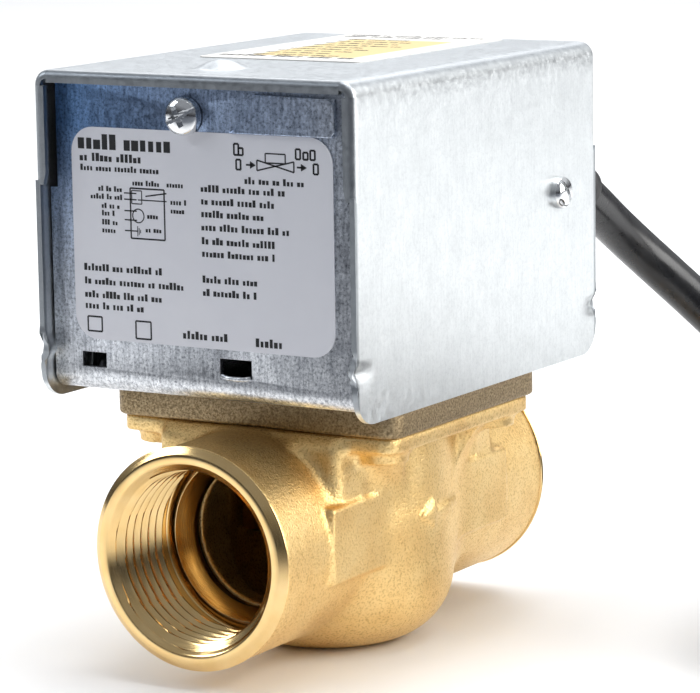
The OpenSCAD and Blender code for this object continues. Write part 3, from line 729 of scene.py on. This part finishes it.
def sheet_metal(name, low, high, roughness, blue=None, marks=0.5, roof=None):
    """Zinc-plated steel sheet with fine light and dark specks and faint rolling marks. Given blue, a blue
    passivation tint with a painted blue reflection laid on by place; given roof, painted shade on the roof's top
    and the end lips.
    """
    made, tree, shader = new_material(name, high, roughness, 1)
    tone = ramp(tree, noise(tree, 5 * mm, 4), [(0.3, low), (0.7, high)])
    if blue:
        # Painted reflection over a real blue passivation tint: the blue is laid on by place, strongest high up, to
        # the left and on the front face.
        upper = place_ramp(tree, (0, 0, 1), 53, 106, [(0.0, 0.0), (0.35, 0.25), (0.85, 1.0)])
        reflection_leftward = place_ramp(tree, (1, 0, 0), -31, 31, [(0.0, 1.0), (0.25, 0.8), (0.85, 0.4), (1.0, 0.15)])
        front = place_ramp(tree, (0, 1, 0), -41.6, -38, [(0.0, 1.0), (1.0, 0.4)])
        share = mix(tree, mix(tree, upper, reflection_leftward, 1.0, "MULTIPLY"), front, 1.0, "MULTIPLY")
        tone = mix(tree, tone, blue, share)
    specks = ramp(tree, noise(tree, 0.55 * mm, 3, roughness=0.75),
                  [(0.34, (0.25, 0.26, 0.28)), (0.47, (0.72, 0.73, 0.74)), (0.6, (1, 1, 1))])
    rolled = ramp(tree, noise(tree, 0.5 * mm, 2, (1, 1, 9)), [(0.32, (0.55, 0.56, 0.58)), (0.6, (1, 1, 1))])
    tone = mix(tree, tone, specks, marks, "MULTIPLY")
    tone = mix(tree, tone, rolled, 0.9 * marks, "MULTIPLY")
    if roof:
        # Painted shade: the roof's top is painted darker than the sheet's sides.
        painted_shade_roof = place_ramp(tree, (0, 0, 1), roof - 1.2, roof - 0.6, [(0.0, (1, 1, 1)), (1.0, (0.70, 0.71, 0.73))])
        tone = mix(tree, tone, painted_shade_roof, 1.0, "MULTIPLY")
        # Painted shade: the sheet past each shoulder, the curled ends and lips, is painted darker.
        for outwards in (-1, 1):
            painted_shade_lips = place_ramp(tree, (0, outwards, 0), 43.0, 43.5, [(0.0, (1, 1, 1)), (1.0, (0.50, 0.51, 0.53))])
            tone = mix(tree, tone, painted_shade_lips, 1.0, "MULTIPLY")
    tree.links.new(tone, shader.inputs["Base Color"])
    worn = noise(tree, 1.2 * mm, 4)
    tree.links.new(ramp(tree, worn, [(0.3, roughness - 0.06), (0.7, roughness + 0.1)]),
                   shader.inputs["Roughness"])
    bump(tree, shader, noise(tree, 0.8 * mm, 3), 0.03 * mm, 0.5)
    return made


chassis_zinc = sheet_metal("passivated_zinc_painted_reflection", (0.82, 0.83, 0.85), (0.95, 0.96, 0.98), 0.36,
                           (0.12, 0.31, 0.66), 0.85)
wall_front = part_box("front_label")[1].y / mm
chassis = eased_copy("chassis_sheet", ["chassis"], chassis_zinc, 0.2 * mm)
fit(chassis, "valve", "zinc_sheet", "chassis")

# The flap's outline: a round outer corner, then an S-shaped edge down to its root.
flap = [(27.9, 98.6), (27.9, 102.2)]
flap += [(25.9 + 2 * math.cos(math.radians(a)), 102.3 + 2 * math.sin(math.radians(a))) for a in range(10, 91, 16)]
flap += [(11.9, 104.5), (11.0, 104.2), (10.3, 103.3), (9.7, 101.8), (9.1, 100.0), (8.4, 98.8), (7.4, 98.1),
         (6.4, 97.8), (8.0, 97.7), (27.2, 97.7)]
flap_piece = outward(mesh_piece("chassis_flap", *prism(flap, wall_front - 0.95, wall_front + 0.4, 1),
                                chassis_zinc))
fit(softened(flap_piece, 0.4 * mm), "valve", "zinc_sheet")

lip_points, lip_faces = tube(np.array([(3.9, wall_front - 0.05, 55.3), (5.4, wall_front - 0.3, 55.1),
                                       (7.0, wall_front - 0.35, 55.05), (8.6, wall_front - 0.3, 55.1),
                                       (9.8, wall_front - 0.05, 55.3)]) * mm, 0.42 * mm, 12)
fit(outward(mesh_piece("slot_lip", lip_points, lip_faces, chassis_zinc)), "valve", "zinc_sheet")


# ---- Seat ring, stem and arm ----
# A turned brass seat is pressed into the back port. A ground steel stem comes down through the
# bonnet on two rubber rings and carries a milled brass arm with the moulded rubber ball.


def finish(name, colour, roughness, metallic=0.0, size=0.6 * mm, spread=0.12, relief=0.02 * mm,
           stretch=(1, 1, 1)):
    """A material whose colour and polish vary a little, with fine relief of that size."""
    made, tree, shader = new_material(name, colour, roughness, metallic)
    tone = [(0.3, tuple(c * (1 - spread) for c in colour)), (0.7, tuple(min(1, c * (1 + spread)) for c in colour))]
    tree.links.new(ramp(tree, noise(tree, size * 6), tone), shader.inputs["Base Color"])
    fine = noise(tree, size, 2, stretch)
    tree.links.new(ramp(tree, fine, [(0.3, max(0.05, roughness - 0.06)), (0.7, roughness + 0.08)]),
                   shader.inputs["Roughness"])
    bump(tree, shader, fine, relief)
    return made


def finish_node(node, material):
    """Gives a node that is shown as fitted its own material."""
    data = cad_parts[node].data
    data.materials.clear()
    data.materials.append(material)


rubber = finish("moulded_rubber", (0.018, 0.017, 0.016), 0.55, relief=0.04 * mm)
ground_steel = finish("ground_steel", (0.60, 0.60, 0.61), 0.22, 1, 0.3 * mm, 0.06, 0.01 * mm, (1, 1, 12))
for node, ease in (("seat_ring", 0.25), ("paddle_arm", 0.2)):
    piece = eased_copy(f"{node}_turned", [node], cut_brass, ease * mm)
    fit(piece, "valve" if node == "seat_ring" else "swing_group", "cut_brass", node)
fit(eased_copy("stem_rod", ["stem"], ground_steel, 0.3 * mm), "swing_group", "steel_bright", "stem")
fit(eased_copy("ball_moulding", ["ball_plug"], rubber, 0.12 * mm, 50), "swing_group", "black_rubber", "ball_plug")
finish_node("stem_seals", rubber)
finish_node("bonnet_seal", rubber)


# ---- Screws under the head ----
# Four steel socket screws hold the bonnet and two slotted screws hold the base to it, all turned
# and plated. The brass screw and ring tag on the base are for the earth wire.


def turned(profile, sides=48):
    """Points and faces of a turned piece on the Z axis, from the radius and height of each step."""
    angle = np.arange(sides) * 2 * math.pi / sides
    points = [(0, 0, profile[0][1])]
    for r, z in profile[1:-1]:
        points += [(r * math.cos(a), r * math.sin(a), z) for a in angle]
    points.append((0, 0, profile[-1][1]))
    last, rows = len(points) - 1, len(profile) - 2
    faces = [(0, 1 + (k + 1) % sides, 1 + k) for k in range(sides)]
    faces += [(last, last - sides + k, last - sides + (k + 1) % sides) for k in range(sides)]
    faces += [(1 + i * sides + k, 1 + i * sides + (k + 1) % sides, 1 + (i + 1) * sides + (k + 1) % sides,
               1 + (i + 1) * sides + k) for i in range(rows - 1) for k in range(sides)]
    return np.array(points) * mm, faces


def box_shape(low, high):
    """Points and faces of a box between two corners in millimetres."""
    points = [(x, y, z) for x in (low[0], high[0]) for y in (low[1], high[1]) for z in (low[2], high[2])]
    faces = [(0, 1, 3, 2), (4, 6, 7, 5), (0, 4, 5, 1), (2, 3, 7, 6), (0, 2, 6, 4), (1, 5, 7, 3)]
    return np.array(points) * mm, faces


def settled(obj):
    """Makes a piece's modifiers part of its mesh."""
    ready = obj.evaluated_get(bpy.context.evaluated_depsgraph_get())
    data = bpy.data.meshes.new_from_object(ready)
    obj.modifiers.clear()
    obj.data = data
    return obj


def pierced(obj, *shapes):
    """Takes closed shapes out of a piece."""
    tools = []
    for shape_points, shape_faces in shapes:
        tools.append(outward(mesh_piece("tool", shape_points, shape_faces, obj.data.materials[0])))
        hole = obj.modifiers.new("hole", "BOOLEAN")
        hole.operation = "DIFFERENCE"
        hole.solver = "EXACT"
        hole.object = tools[-1]
    settled(obj)
    for tool in tools:
        bpy.data.objects.remove(tool)
    return obj


def dome_head(name, head_r, head_h, shank_r, length, material, slot=1.0, cross=0.0):
    """A dome-headed screw on the Z axis with its head's underside at the origin."""
    profile = [(0, -length), (shank_r * 0.8, -length), (shank_r, -length + 0.5), (shank_r, 0), (head_r, 0)]
    profile += [(head_r - 0.02, 0.35 * head_h)]
    profile += [(head_r * math.cos(a) ** 0.75, head_h * (0.35 + 0.65 * math.sin(a)))
                for a in (math.pi / 2 * k / 9 for k in range(1, 9))] + [(0, head_h)]
    obj = outward(mesh_piece(name, *turned(profile), material))
    deep = 0.5 * head_h
    cuts = [box_shape((-head_r - 1, -slot / 2, head_h - deep), (head_r + 1, slot / 2, head_h + 1))]
    if cross:
        for a, b in ((cross, 0.55), (0.55, cross)):
            cuts.append(box_shape((-a, -b, head_h - deep - 0.5), (a, b, head_h + 1)))
    obj = softened(pierced(obj, *cuts), 0.09 * mm)
    return settled(obj)


def repeated(name, item, places, material, turns=None, sizes=None, spin=0.0, seed=1):
    """Copies of a small piece at places, each with its turn and size and a chance spin, as one mesh."""
    group = bpy.data.node_groups.new(f"{name}_layout", "GeometryNodeTree")
    names = {}
    for label, kind in (("Places", "Geometry"), ("Piece", "Object"), ("Finish", "Material"),
                        ("Spin", "Float"), ("Seed", "Int")):
        socket = group.interface.new_socket(label, in_out="INPUT", socket_type=f"NodeSocket{kind}")
        names[label] = socket.identifier
    group.interface.new_socket("Set", in_out="OUTPUT", socket_type="NodeSocketGeometry")
    made, link = group.nodes, group.links.new
    given, result = made.new("NodeGroupInput"), made.new("NodeGroupOutput")
    piece = made.new("GeometryNodeObjectInfo")
    put = made.new("GeometryNodeInstanceOnPoints")
    spread = made.new("GeometryNodeRotateInstances")
    chance = made.new("FunctionNodeRandomValue")
    about = made.new("ShaderNodeCombineXYZ")
    real = made.new("GeometryNodeRealizeInstances")
    dress = made.new("GeometryNodeSetMaterial")
    for label, socket in (("turn", put.inputs["Rotation"]), ("size", put.inputs["Scale"])):
        stored = made.new("GeometryNodeInputNamedAttribute")
        stored.data_type = "FLOAT_VECTOR"
        stored.inputs["Name"].default_value = label
        link(stored.outputs["Attribute"], socket)
    chance.data_type = "FLOAT"
    chance.inputs[2].default_value = 0.0
    link(given.outputs["Spin"], chance.inputs[3])
    link(given.outputs["Seed"], chance.inputs["Seed"])
    link(given.outputs["Piece"], piece.inputs["Object"])
    link(given.outputs["Places"], put.inputs["Points"])
    link(piece.outputs["Geometry"], put.inputs["Instance"])
    link(chance.outputs[1], about.inputs["Z"])
    link(put.outputs["Instances"], spread.inputs["Instances"])
    link(about.outputs["Vector"], spread.inputs["Rotation"])
    link(spread.outputs["Instances"], real.inputs["Geometry"])
    link(real.outputs["Geometry"], dress.inputs["Geometry"])
    link(given.outputs["Finish"], dress.inputs["Material"])
    link(dress.outputs["Geometry"], result.inputs["Set"])
    obj = mesh_piece(name, np.array(places) * mm, [], material)
    turns, sizes = turns or [(0, 0, 0)] * len(places), sizes or [(1, 1, 1)] * len(places)
    for label, values in (("turn", turns), ("size", sizes)):
        stored = obj.data.attributes.new(label, "FLOAT_VECTOR", "POINT")
        stored.data.foreach_set("vector", [v for value in values for v in value])
    layout = obj.modifiers.new("layout", "NODES")
    layout.node_group = group
    for label, value in (("Piece", item), ("Finish", material), ("Spin", spin), ("Seed", seed)):
        layout[names[label]] = value
    settled(obj)
    bpy.data.objects.remove(item)
    return obj


plated = finish("bright_plated_steel", (0.72, 0.73, 0.74), 0.16, 1, 0.5 * mm, 0.06, 0.015 * mm)
hex_ring = [(1.7 * math.cos(math.radians(60 * k)), 1.7 * math.sin(math.radians(60 * k))) for k in range(6)]
socket_head = outward(mesh_piece("socket_screw", *turned([(0, -6.6), (1.3, -6.6), (1.65, -6.1), (1.65, 0), (3.5, 0),
                                                          (3.5, 2.2), (3.3, 2.4), (0, 2.4)]), plated))
socket_head = settled(softened(pierced(socket_head, prism(hex_ring, 1.0, 3.0, 2)), 0.12 * mm))
corners = [(x, y, 46.2) for x in (-23.5, 23.5) for y in (-19.5, 19.5)]
fit(repeated("bonnet_screw_set", socket_head, corners, plated, spin=1.05, seed=4), "valve", "steel_bright",
    "bonnet_screws")
slotted_screw = dome_head("slotted_screw", 3.8, 2.4, 1.6, 5.6, plated)
fit(repeated("head_screw_set", slotted_screw, [(6, -16, 51.6), (6, 16, 51.6)], plated, spin=3.1, seed=9),
    "valve", "steel_bright", "head_screws")
fit(eased_copy("earth_point", ["earth_screw"], cut_brass, 0.12 * mm), "valve", "cut_brass", "earth_screw")


# ---- Drive ----
# A stamped zinc-plated gear sector with its cam is pressed on the stem and held by a steel clip. A
# coil spring of steel wire, loosely wound, closes the valve when the motor lets go.

stamped_zinc = sheet_metal("stamped_zinc_plate", (0.50, 0.50, 0.51), (0.66, 0.66, 0.67), 0.32)
fit(eased_copy("gear_sector_stamping", ["gear_sector"], stamped_zinc, 0.1 * mm, 20), "swing_group", "zinc_sheet",
    "gear_sector")
fit(eased_copy("stem_retaining_clip", ["stem_clip"], ground_steel, 0.12 * mm), "swing_group", "steel_bright",
    "stem_clip")
finish_node("return_spring", finish("spring_wire", (0.42, 0.42, 0.43), 0.28, 1, 0.3 * mm))
for node in ("motor_plate", "switch_bracket"):
    fit(eased_copy(f"{node}_pressing", [node], stamped_zinc, 0.18 * mm), "valve", "zinc_sheet", node)
fit(eased_copy("motor_post_set", ["motor_posts"], ground_steel, 0.2 * mm), "valve", "steel_bright", "motor_posts")


# ---- Motor and gearbox ----
# A synchronous motor in a drawn steel can, riveted to a round pressed-steel gearbox. Two screws
# hold its ears to the plate. A cut brass pinion on its shaft turns the sector.

gear_steel = finish("satin_nickel_plate", (0.52, 0.51, 0.49), 0.3, 1, 0.4 * mm, 0.08, 0.02 * mm, (1, 1, 8))
fit(eased_copy("gearbox_case", ["gearbox"], gear_steel, 0.3 * mm), "valve", "gearbox_metal", "gearbox")
fit(eased_copy("motor_drawn_can", ["motor_can"], stamped_zinc, 0.5 * mm), "valve", "zinc_sheet", "motor_can")
fit(eased_copy("motor_screw_pair", ["motor_screws"], plated, 0.12 * mm), "valve", "steel_bright", "motor_screws")
fit(eased_copy("pinion_cut", ["motor_pinion"], cut_brass, 0.08 * mm, 20), "pinion", "cut_brass", "motor_pinion")


# ---- End switch and manual lever ----
# A small black phenolic changeover switch with brass tabs stands on its bracket and its plunger
# meets the cam. The lever is a bent steel strip that opens the valve by hand.

phenolic = finish("black_phenolic", (0.03, 0.028, 0.026), 0.4)
fit(eased_copy("switch_case", ["end_switch"], phenolic, 0.3 * mm), "valve", "switch_body", "end_switch")
fit(eased_copy("switch_tab_set", ["switch_tabs"], cut_brass, 0.1 * mm), "valve", "cut_brass", "switch_tabs")
fit(eased_copy("switch_plunger_pin", ["switch_plunger"], finish("red_nylon", (0.55, 0.05, 0.03), 0.4), 0.15 * mm),
    "plunger", "plunger_plastic", "switch_plunger")
fit(eased_copy("manual_lever_strip", ["manual_lever"], ground_steel, 0.2 * mm), "lever", "steel_bright",
    "manual_lever")


# ---- Lead entry ----
# A black nylon gland grips the lead in the back wall. Inside, its six PVC cores fan out to the motor,
# the switch and the earth tag.

black_nylon = finish("black_nylon", (0.02, 0.02, 0.021), 0.45)
fit(eased_copy("gland_moulding", ["cable_gland"], black_nylon, 0.25 * mm), "valve", "nylon_black", "cable_gland")
inner_pvc, tree, shader = new_material("inner_core_pvc", (0.3, 0.1, 0.05), 0.35)
tree.links.new(place_ramp(tree, (1, 0, 0), -30, 30, [(0.0, (0.80, 0.22, 0.02)), (0.35, (0.30, 0.31, 0.32)),
                                               (0.65, (0.02, 0.12, 0.55)), (1.0, (0.18, 0.06, 0.02))]),
               shader.inputs["Base Color"])
bump(tree, shader, noise(tree, 0.6 * mm, 1), 0.02 * mm)
finish_node("inner_leads", inner_pvc)


# ---- Cover ----
# A zinc-plated steel sheet folded into an inverted U over the chassis. Its ends have folded-in lips
# across the top and down the upper sides, notched at the bends, and spring dents near the bottom.

cover_low, cover_high = (np.array(corner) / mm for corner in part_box("cover"))
fold_r = 2.3
lip_from = 86.2
lip_bend = 0.6
lower_corner_r = 5.5
dome_at = (-2.5, -29.5)
dome_r = 4.75
dome_h = 1.6
dent_z = 58
dent_depth = 0.9
sheet_t = 1.0
half_w = (cover_high[0] - cover_low[0]) / 2 - sheet_t / 2
half_d = (cover_high[1] - cover_low[1]) / 2
roof_z = cover_high[2] - dome_h - sheet_t / 2
side_z = cover_low[2]


def cover_point(way, y):
    """A point on the middle of the sheet. way is the distance round the U from the roof's middle."""
    turn = fold_r * math.pi / 2
    flat = half_w - fold_r
    side, far = math.copysign(1, way), abs(way)
    if far <= flat:
        x, z, inwards = way, roof_z, (0, -1)
        near = math.hypot(x - dome_at[0], y - dome_at[1]) / dome_r
        if near < 1:
            z += dome_h * (1 - near ** 2) ** 1.3
    elif far <= flat + turn:
        a = (far - flat) / fold_r
        x, z = side * (flat + fold_r * math.sin(a)), roof_z - fold_r * (1 - math.cos(a))
        inwards = (-side * math.sin(a), -math.cos(a))
    else:
        low = side_z
        if abs(y) > half_d - lower_corner_r:
            past = abs(y) - half_d + lower_corner_r
            low += lower_corner_r - math.sqrt(max(0, lower_corner_r ** 2 - past ** 2))
        upper = roof_z - fold_r
        share = (far - flat - turn) / (upper - side_z)
        z = upper - share * (upper - low)
        dent = max(0, 1 - ((z - dent_z) / 2.3) ** 2) ** 2 * min(1, max(0, (abs(y) - 38) / 5)) ** 1.4
        x, inwards = side * (half_w - dent_depth * dent), (-side, 0)
    return x, z, inwards


def stations(needed, others, gap=0.22):
    """All the needed values, and those of the others that aren't too near one already there."""
    kept = sorted(needed)
    for value in others:
        if all(abs(value - k) > gap for k in kept):
            kept.append(value)
    return sorted(kept)


side_len = roof_z - fold_r - side_z
flat, turn = half_w - fold_r, fold_r * math.pi / 2
lip_way = flat + turn + roof_z - fold_r - lip_from
ways = stations([0, lip_way, flat + turn + side_len, *(flat + turn * i / 6 for i in range(7))],
                [*(abs(v) for v in np.arange(-8, 3.5, 0.5)), *(flat + turn + roof_z - fold_r - z
                 for z in np.arange(55.5, 60.6, 0.4)), *(flat + turn + side_len - 0.8 * i for i in range(8)),
                 *np.linspace(0, flat, 16), *(flat + turn + side_len * i / 24 for i in range(24))])
ways = [-w for w in reversed(ways) if w > 0] + ways
shoulder = half_d - 1.1
ys = stations([-shoulder, shoulder], [*np.arange(-34.5, -24, 0.5), *np.linspace(-shoulder, shoulder, 34),
              *(s * (half_d - lower_corner_r + 0.63 * i) for s in (-1, 1) for i in range(7))])
shape = bmesh.new()
seen = {}


def sheet_vertex(key, place):
    """The mesh's vertex for that key, made at its place the first time."""
    if key not in seen:
        seen[key] = shape.verts.new([v * mm for v in place])
    return seen[key]


def main_vertex(i, y):
    """The mesh's vertex on the sheet between its ends."""
    x, z, _ = cover_point(ways[i], y)
    return sheet_vertex((i, y), (x, y, z))


# At each end the sheet goes on past its shoulder, curled inwards where it has a lip.
curl = [(lip_bend * math.sin(a), lip_bend * (1 - math.cos(a))) for a in (math.pi / 8 * k for k in range(1, 5))]
for i in range(len(ways) - 1):
    for y0, y1 in zip(ys, ys[1:]):
        shape.faces.new((main_vertex(i, y0), main_vertex(i + 1, y0), main_vertex(i + 1, y1), main_vertex(i, y1)))
    middle = abs(ways[i] + ways[i + 1]) / 2
    on_fold = flat < middle < flat + turn
    lipped = not on_fold and middle < lip_way
    if lipped:
        steps = [*curl, (lip_bend, 1.0), (lip_bend, 1.7)]
    elif on_fold:
        steps = [*curl, (lip_bend, 1.0)]
    else:
        steps = [(0.4, 0), (0.8, 0), (1.1, 0)]
    for end in (-1, 1):
        rows = [[main_vertex(k, end * shoulder) for k in (i, i + 1)]]
        for n, (outwards, inset) in enumerate(steps):
            pair = []
            for k in (i, i + 1):
                x, z, inwards = cover_point(ways[k], end * (shoulder + outwards))
                edge_round = 1 if lipped and n == len(steps) - 1 and abs(ways[k]) == lip_way else 0
                inset_here = inset - 0.5 * edge_round
                pair.append(sheet_vertex((k, end, lipped, on_fold, n), (x + inwards[0] * inset_here,
                                         end * (shoulder + outwards), z + inwards[1] * inset_here)))
            rows.append(pair)
        for (a, b), (c, d) in zip(rows, rows[1:]):
            shape.faces.new((a, b, d, c))
bmesh.ops.recalc_face_normals(shape, faces=shape.faces)
# The plating carries painted shade on the roof's top and on the end lips.
cover_zinc = sheet_metal("bright_zinc_plate", (0.76, 0.79, 0.80), (0.82, 0.85, 0.86), 0.38, marks=0.14,
                         roof=roof_z + sheet_t / 2)
data = bpy.data.meshes.new("cover_sheet")
shape.to_mesh(data)
shape.free()
data.materials.append(cover_zinc)
data.shade_smooth()
cover = bpy.data.objects.new("cover_sheet", data)
scene.collection.objects.link(cover)
thick = cover.modifiers.new("sheet", "SOLIDIFY")
thick.thickness = sheet_t * mm
thick.offset = 0
thick.use_even_offset = True
settled(cover)
softened(cover, 0.16 * mm, 40)
fit(outward(cover), "valve", "cover_sheet", "cover")


# ---- Cover screws ----
# Plated dome-headed steel screws, rolled and headed: one with a slot and cross through the front
# wall, and one slotted on each side of the cover.

chrome = finish("bright_chrome_plate", (0.80, 0.81, 0.82), 0.09, 1, 0.8 * mm, 0.05, 0.01 * mm)
front_screw = dome_head("front_dome_screw", 3.4, 2.6, 1.65, 5.0, chrome, 0.8, 1.9)
fit(repeated("front_cover_screw", front_screw, [(-2.5, wall_front - 0.2, 100.3)], chrome, [(math.pi / 2, 0, 0.0)],
             spin=0.5, seed=3), "valve", "steel_bright", "front_screw")
side_places = [(s * cover_high[0], 29, 80.8) for s in (-1, 1)]
side_turns = [(0, -math.pi / 2, 0), (0, math.pi / 2, 0)]
side_screw = dome_head("side_dome_screw", 3.0, 2.2, 1.5, 4.5, chrome, 0.9)
fit(repeated("side_cover_screws", side_screw, side_places, chrome, side_turns, spin=1.2, seed=6), "valve",
    "steel_bright", "side_screws")


# ---- Front label ----
# A rounded self-adhesive film label with a satin grey face, printed in black. Its print is only
# marks: rows of strokes, a wiring diagram and a valve symbol.

film, tree, shader = new_material("grey_label_film", (0.74, 0.74, 0.79), 0.32)
tree.links.new(ramp(tree, noise(tree, 14 * mm), [(0.2, (0.78, 0.78, 0.83)), (0.8, (0.83, 0.83, 0.87))]),
               shader.inputs["Base Color"])
bump(tree, shader, noise(tree, 3 * mm, 2), 0.02 * mm, 0.4)
label_low, label_high = (np.array(corner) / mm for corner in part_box("front_label"))
label_mid = (label_low + label_high) / 2
label_w, label_h = label_high[0] - label_low[0], label_high[2] - label_low[2]
film_outline = [(label_mid[0] + a, label_mid[2] + b) for a, b in plan_outline(label_w, label_h, 4.5)]
fit(outward(mesh_piece("front_label_film", *prism(film_outline, label_low[1], label_high[1], 1), film, False)),
    "valve", "label_front", "front_label")

ink = finish("black_ink", (0.008, 0.008, 0.01), 0.5, relief=0.005 * mm)
marks = []
chance = random.Random(12)


def stroke(u0, v0, u1, v1, thick):
    """A printed line between two points, measured in millimetres from the label's upper left."""
    long = math.hypot(u1 - u0, v1 - v0)
    marks.append((((u0 + u1) / 2, (v0 + v1) / 2), math.atan2(v1 - v0, u1 - u0), long, thick))


def row(u, v, length, height, weight=0.46):
    """A row of word-like groups of short upright strokes of mixed height."""
    at = u
    while at < u + length - height * 0.4:
        for _ in range(chance.randint(2, 7)):
            tall = height * chance.choice((0.62, 0.68, 0.72, 1.0))
            if at < u + length:
                marks.append(((at, v - tall / 2), 0, height * weight * chance.uniform(0.75, 1.1), tall))
            at += height * 0.62
        at += height * 0.5


def frame_mark(u0, v0, u1, v1, thick):
    """The four sides of a printed box."""
    for a, b, c, d in ((u0, v0, u1, v0), (u0, v1, u1, v1), (u0, v0, u0, v1), (u1, v0, u1, v1)):
        stroke(a, b, c, d, thick)


row(2.1, 3.9, 21, 2.7, 0.5)
row(2.1, 6.0, 14, 1.45)
row(2.1, 7.7, 17.5, 1.1)
for u, v, length in ((13, 9.9, 5.6), (20.2, 9.9, 3.5), (5.8, 11.2, 4.6), (4.1, 12.6, 6.4), (6.4, 14.2, 3.7),
                     (6.4, 15.5, 2.8), (6.4, 17.1, 4.2), (6.4, 18.5, 3.6), (20.9, 12.9, 3.3), (20.9, 14.4, 3.2),
                     (16.0, 15.6, 2), (15.6, 18.0, 3)):
    row(u, v, length, 0.95)
for v, length in ((10.3, 17), (12.5, 14.8), (14.7, 12.2), (17.0, 17.8), (19.4, 14.8), (21.6, 15), (26.1, 11),
                  (28.4, 11)):
    row(27.3, v, length, 1.25)
for v, length in ((25.4, 16), (27.8, 20.4), (30.2, 16), (32.2, 13)):
    row(2.4, v, length, 1.25)
row(36.3, 8.5, 11.7, 1.2)
row(23, 36.2, 9.8, 1.4)
row(38, 36.6, 5, 1.5)
frame_mark(12.3, 10.4, 19.4, 19.2, 0.28)
frame_mark(12.6, 10.8, 14.7, 13.1, 0.18)
for v in (11.3, 12.4, 14.4, 16.0, 17.9):
    stroke(11.0, v, 13.6, v, 0.22)
stroke(15.5, 11.7, 19.9, 11.0, 0.24)
stroke(13.9, 12.4, 19.9, 12.4, 0.2)
for k in range(20):
    a, b = 2 * math.pi * k / 20, 2 * math.pi * (k + 1) / 20
    stroke(13.9 + 1.2 * math.cos(a), 15.2 + 1.2 * math.sin(a), 13.9 + 1.2 * math.cos(b),
           15.2 + 1.2 * math.sin(b), 0.2)
for k, half in enumerate((0.9, 0.6, 0.3)):
    stroke(13.7 + 0.3 * k, 17.9 - half, 13.7 + 0.3 * k, 17.9 + half, 0.14)
for a, b, c, d in ((38.6, 4.3, 38.6, 6.1), (46.0, 4.3, 46.0, 6.1), (38.6, 4.3, 46.0, 6.1), (38.6, 6.1, 46.0, 4.3)):
    stroke(a, b, c, d, 0.26)
frame_mark(40.3, 3.1, 44.3, 4.7, 0.24)
for u in (36.4, 46.6):
    stroke(u, 5.2, u + 1.3, 5.2, 0.3)
    for k in range(5):
        stroke(u + 0.9 + 0.22 * k, 5.2 - 0.6 + 0.12 * k, u + 0.9 + 0.22 * k, 5.2 + 0.6 - 0.12 * k, 0.2)
for u, v, tall in ((34.0, 3.6, 1.9), (34.9, 3.6, 1.2), (46.4, 3.8, 1.7), (47.9, 3.8, 1.2), (49.3, 3.8, 1.6),
                   (34.4, 6.1, 1.7), (49.9, 6.2, 1.7)):
    frame_mark(u, v - tall, u + 0.9, v, 0.34)
frame_mark(2.6, 33.6, 5.6, 36.2, 0.3)
frame_mark(12.8, 33.8, 16.0, 36.9, 0.3)

dot = mesh_piece("ink_mark", *box_shape((-0.5, -0.5, -0.5), (0.5, 0.5, 0.5)), ink, False)
ink_y = label_low[1] - 0.012
fit(repeated("front_label_print", dot, [(label_low[0] + u, ink_y, label_high[2] - v) for (u, v), *_ in marks], ink,
             [(0, a, 0) for _, a, *_ in marks], [(long, 0.03, thick) for _, _, long, thick in marks]),
    "valve", "label_front")


# ---- Top label ----
# A white film label along the roof with a pale amber panel, printed with rows of plain strokes.

paper, tree, shader = new_material("white_label_film", (0.84, 0.82, 0.78), 0.35)
panel_x = place_ramp(tree, (1, 0, 0), -19, 15, [(0.22, 0.0), (0.23, 1.0), (0.84, 1.0), (0.85, 0.0)])
panel_y = place_ramp(tree, (0, 1, 0), -12.5, 41.5, [(0.12, 0.0), (0.13, 1.0), (0.80, 1.0), (0.81, 0.0)])
white = ramp(tree, noise(tree, 12 * mm), [(0.2, (0.80, 0.78, 0.74)), (0.8, (0.86, 0.84, 0.80))])
tree.links.new(mix(tree, white, (0.80, 0.62, 0.28), mix(tree, panel_x, panel_y, 1.0, "MULTIPLY")),
               shader.inputs["Base Color"])
bump(tree, shader, noise(tree, 3 * mm, 2), 0.02 * mm, 0.4)
top_low, top_high = (np.array(corner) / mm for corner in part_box("top_label"))
top_mid = (top_low + top_high) / 2
top_outline = [(top_mid[0] + a, top_mid[1] + b)
               for a, b in plan_outline(top_high[0] - top_low[0], top_high[1] - top_low[1], 1.5)]
fit(outward(mesh_piece("top_label_film", *prism(top_outline, top_low[2], top_high[2], 2), paper, False)), "valve",
    "label_top", "top_label")
marks = []
for v, length, height in ((3.0, 28, 1.6), (6.0, 22, 1.6), (49.5, 30, 2.6)):
    row(2.5, v, length, height)
for k in range(9):
    row(7.0, 12 + 4.2 * k, chance.uniform(10, 19), 1.2)
dot = mesh_piece("ink_mark", *box_shape((-0.5, -0.5, -0.5), (0.5, 0.5, 0.5)), ink, False)
fit(repeated("top_label_print", dot, [(top_low[0] + u, top_high[1] - v, top_high[2] + 0.012)
                                      for (u, v), *_ in marks], ink,
             [(0, 0, 0)] * len(marks), [(long, thick, 0.03) for _, _, long, thick in marks]),
    "valve", "label_top")
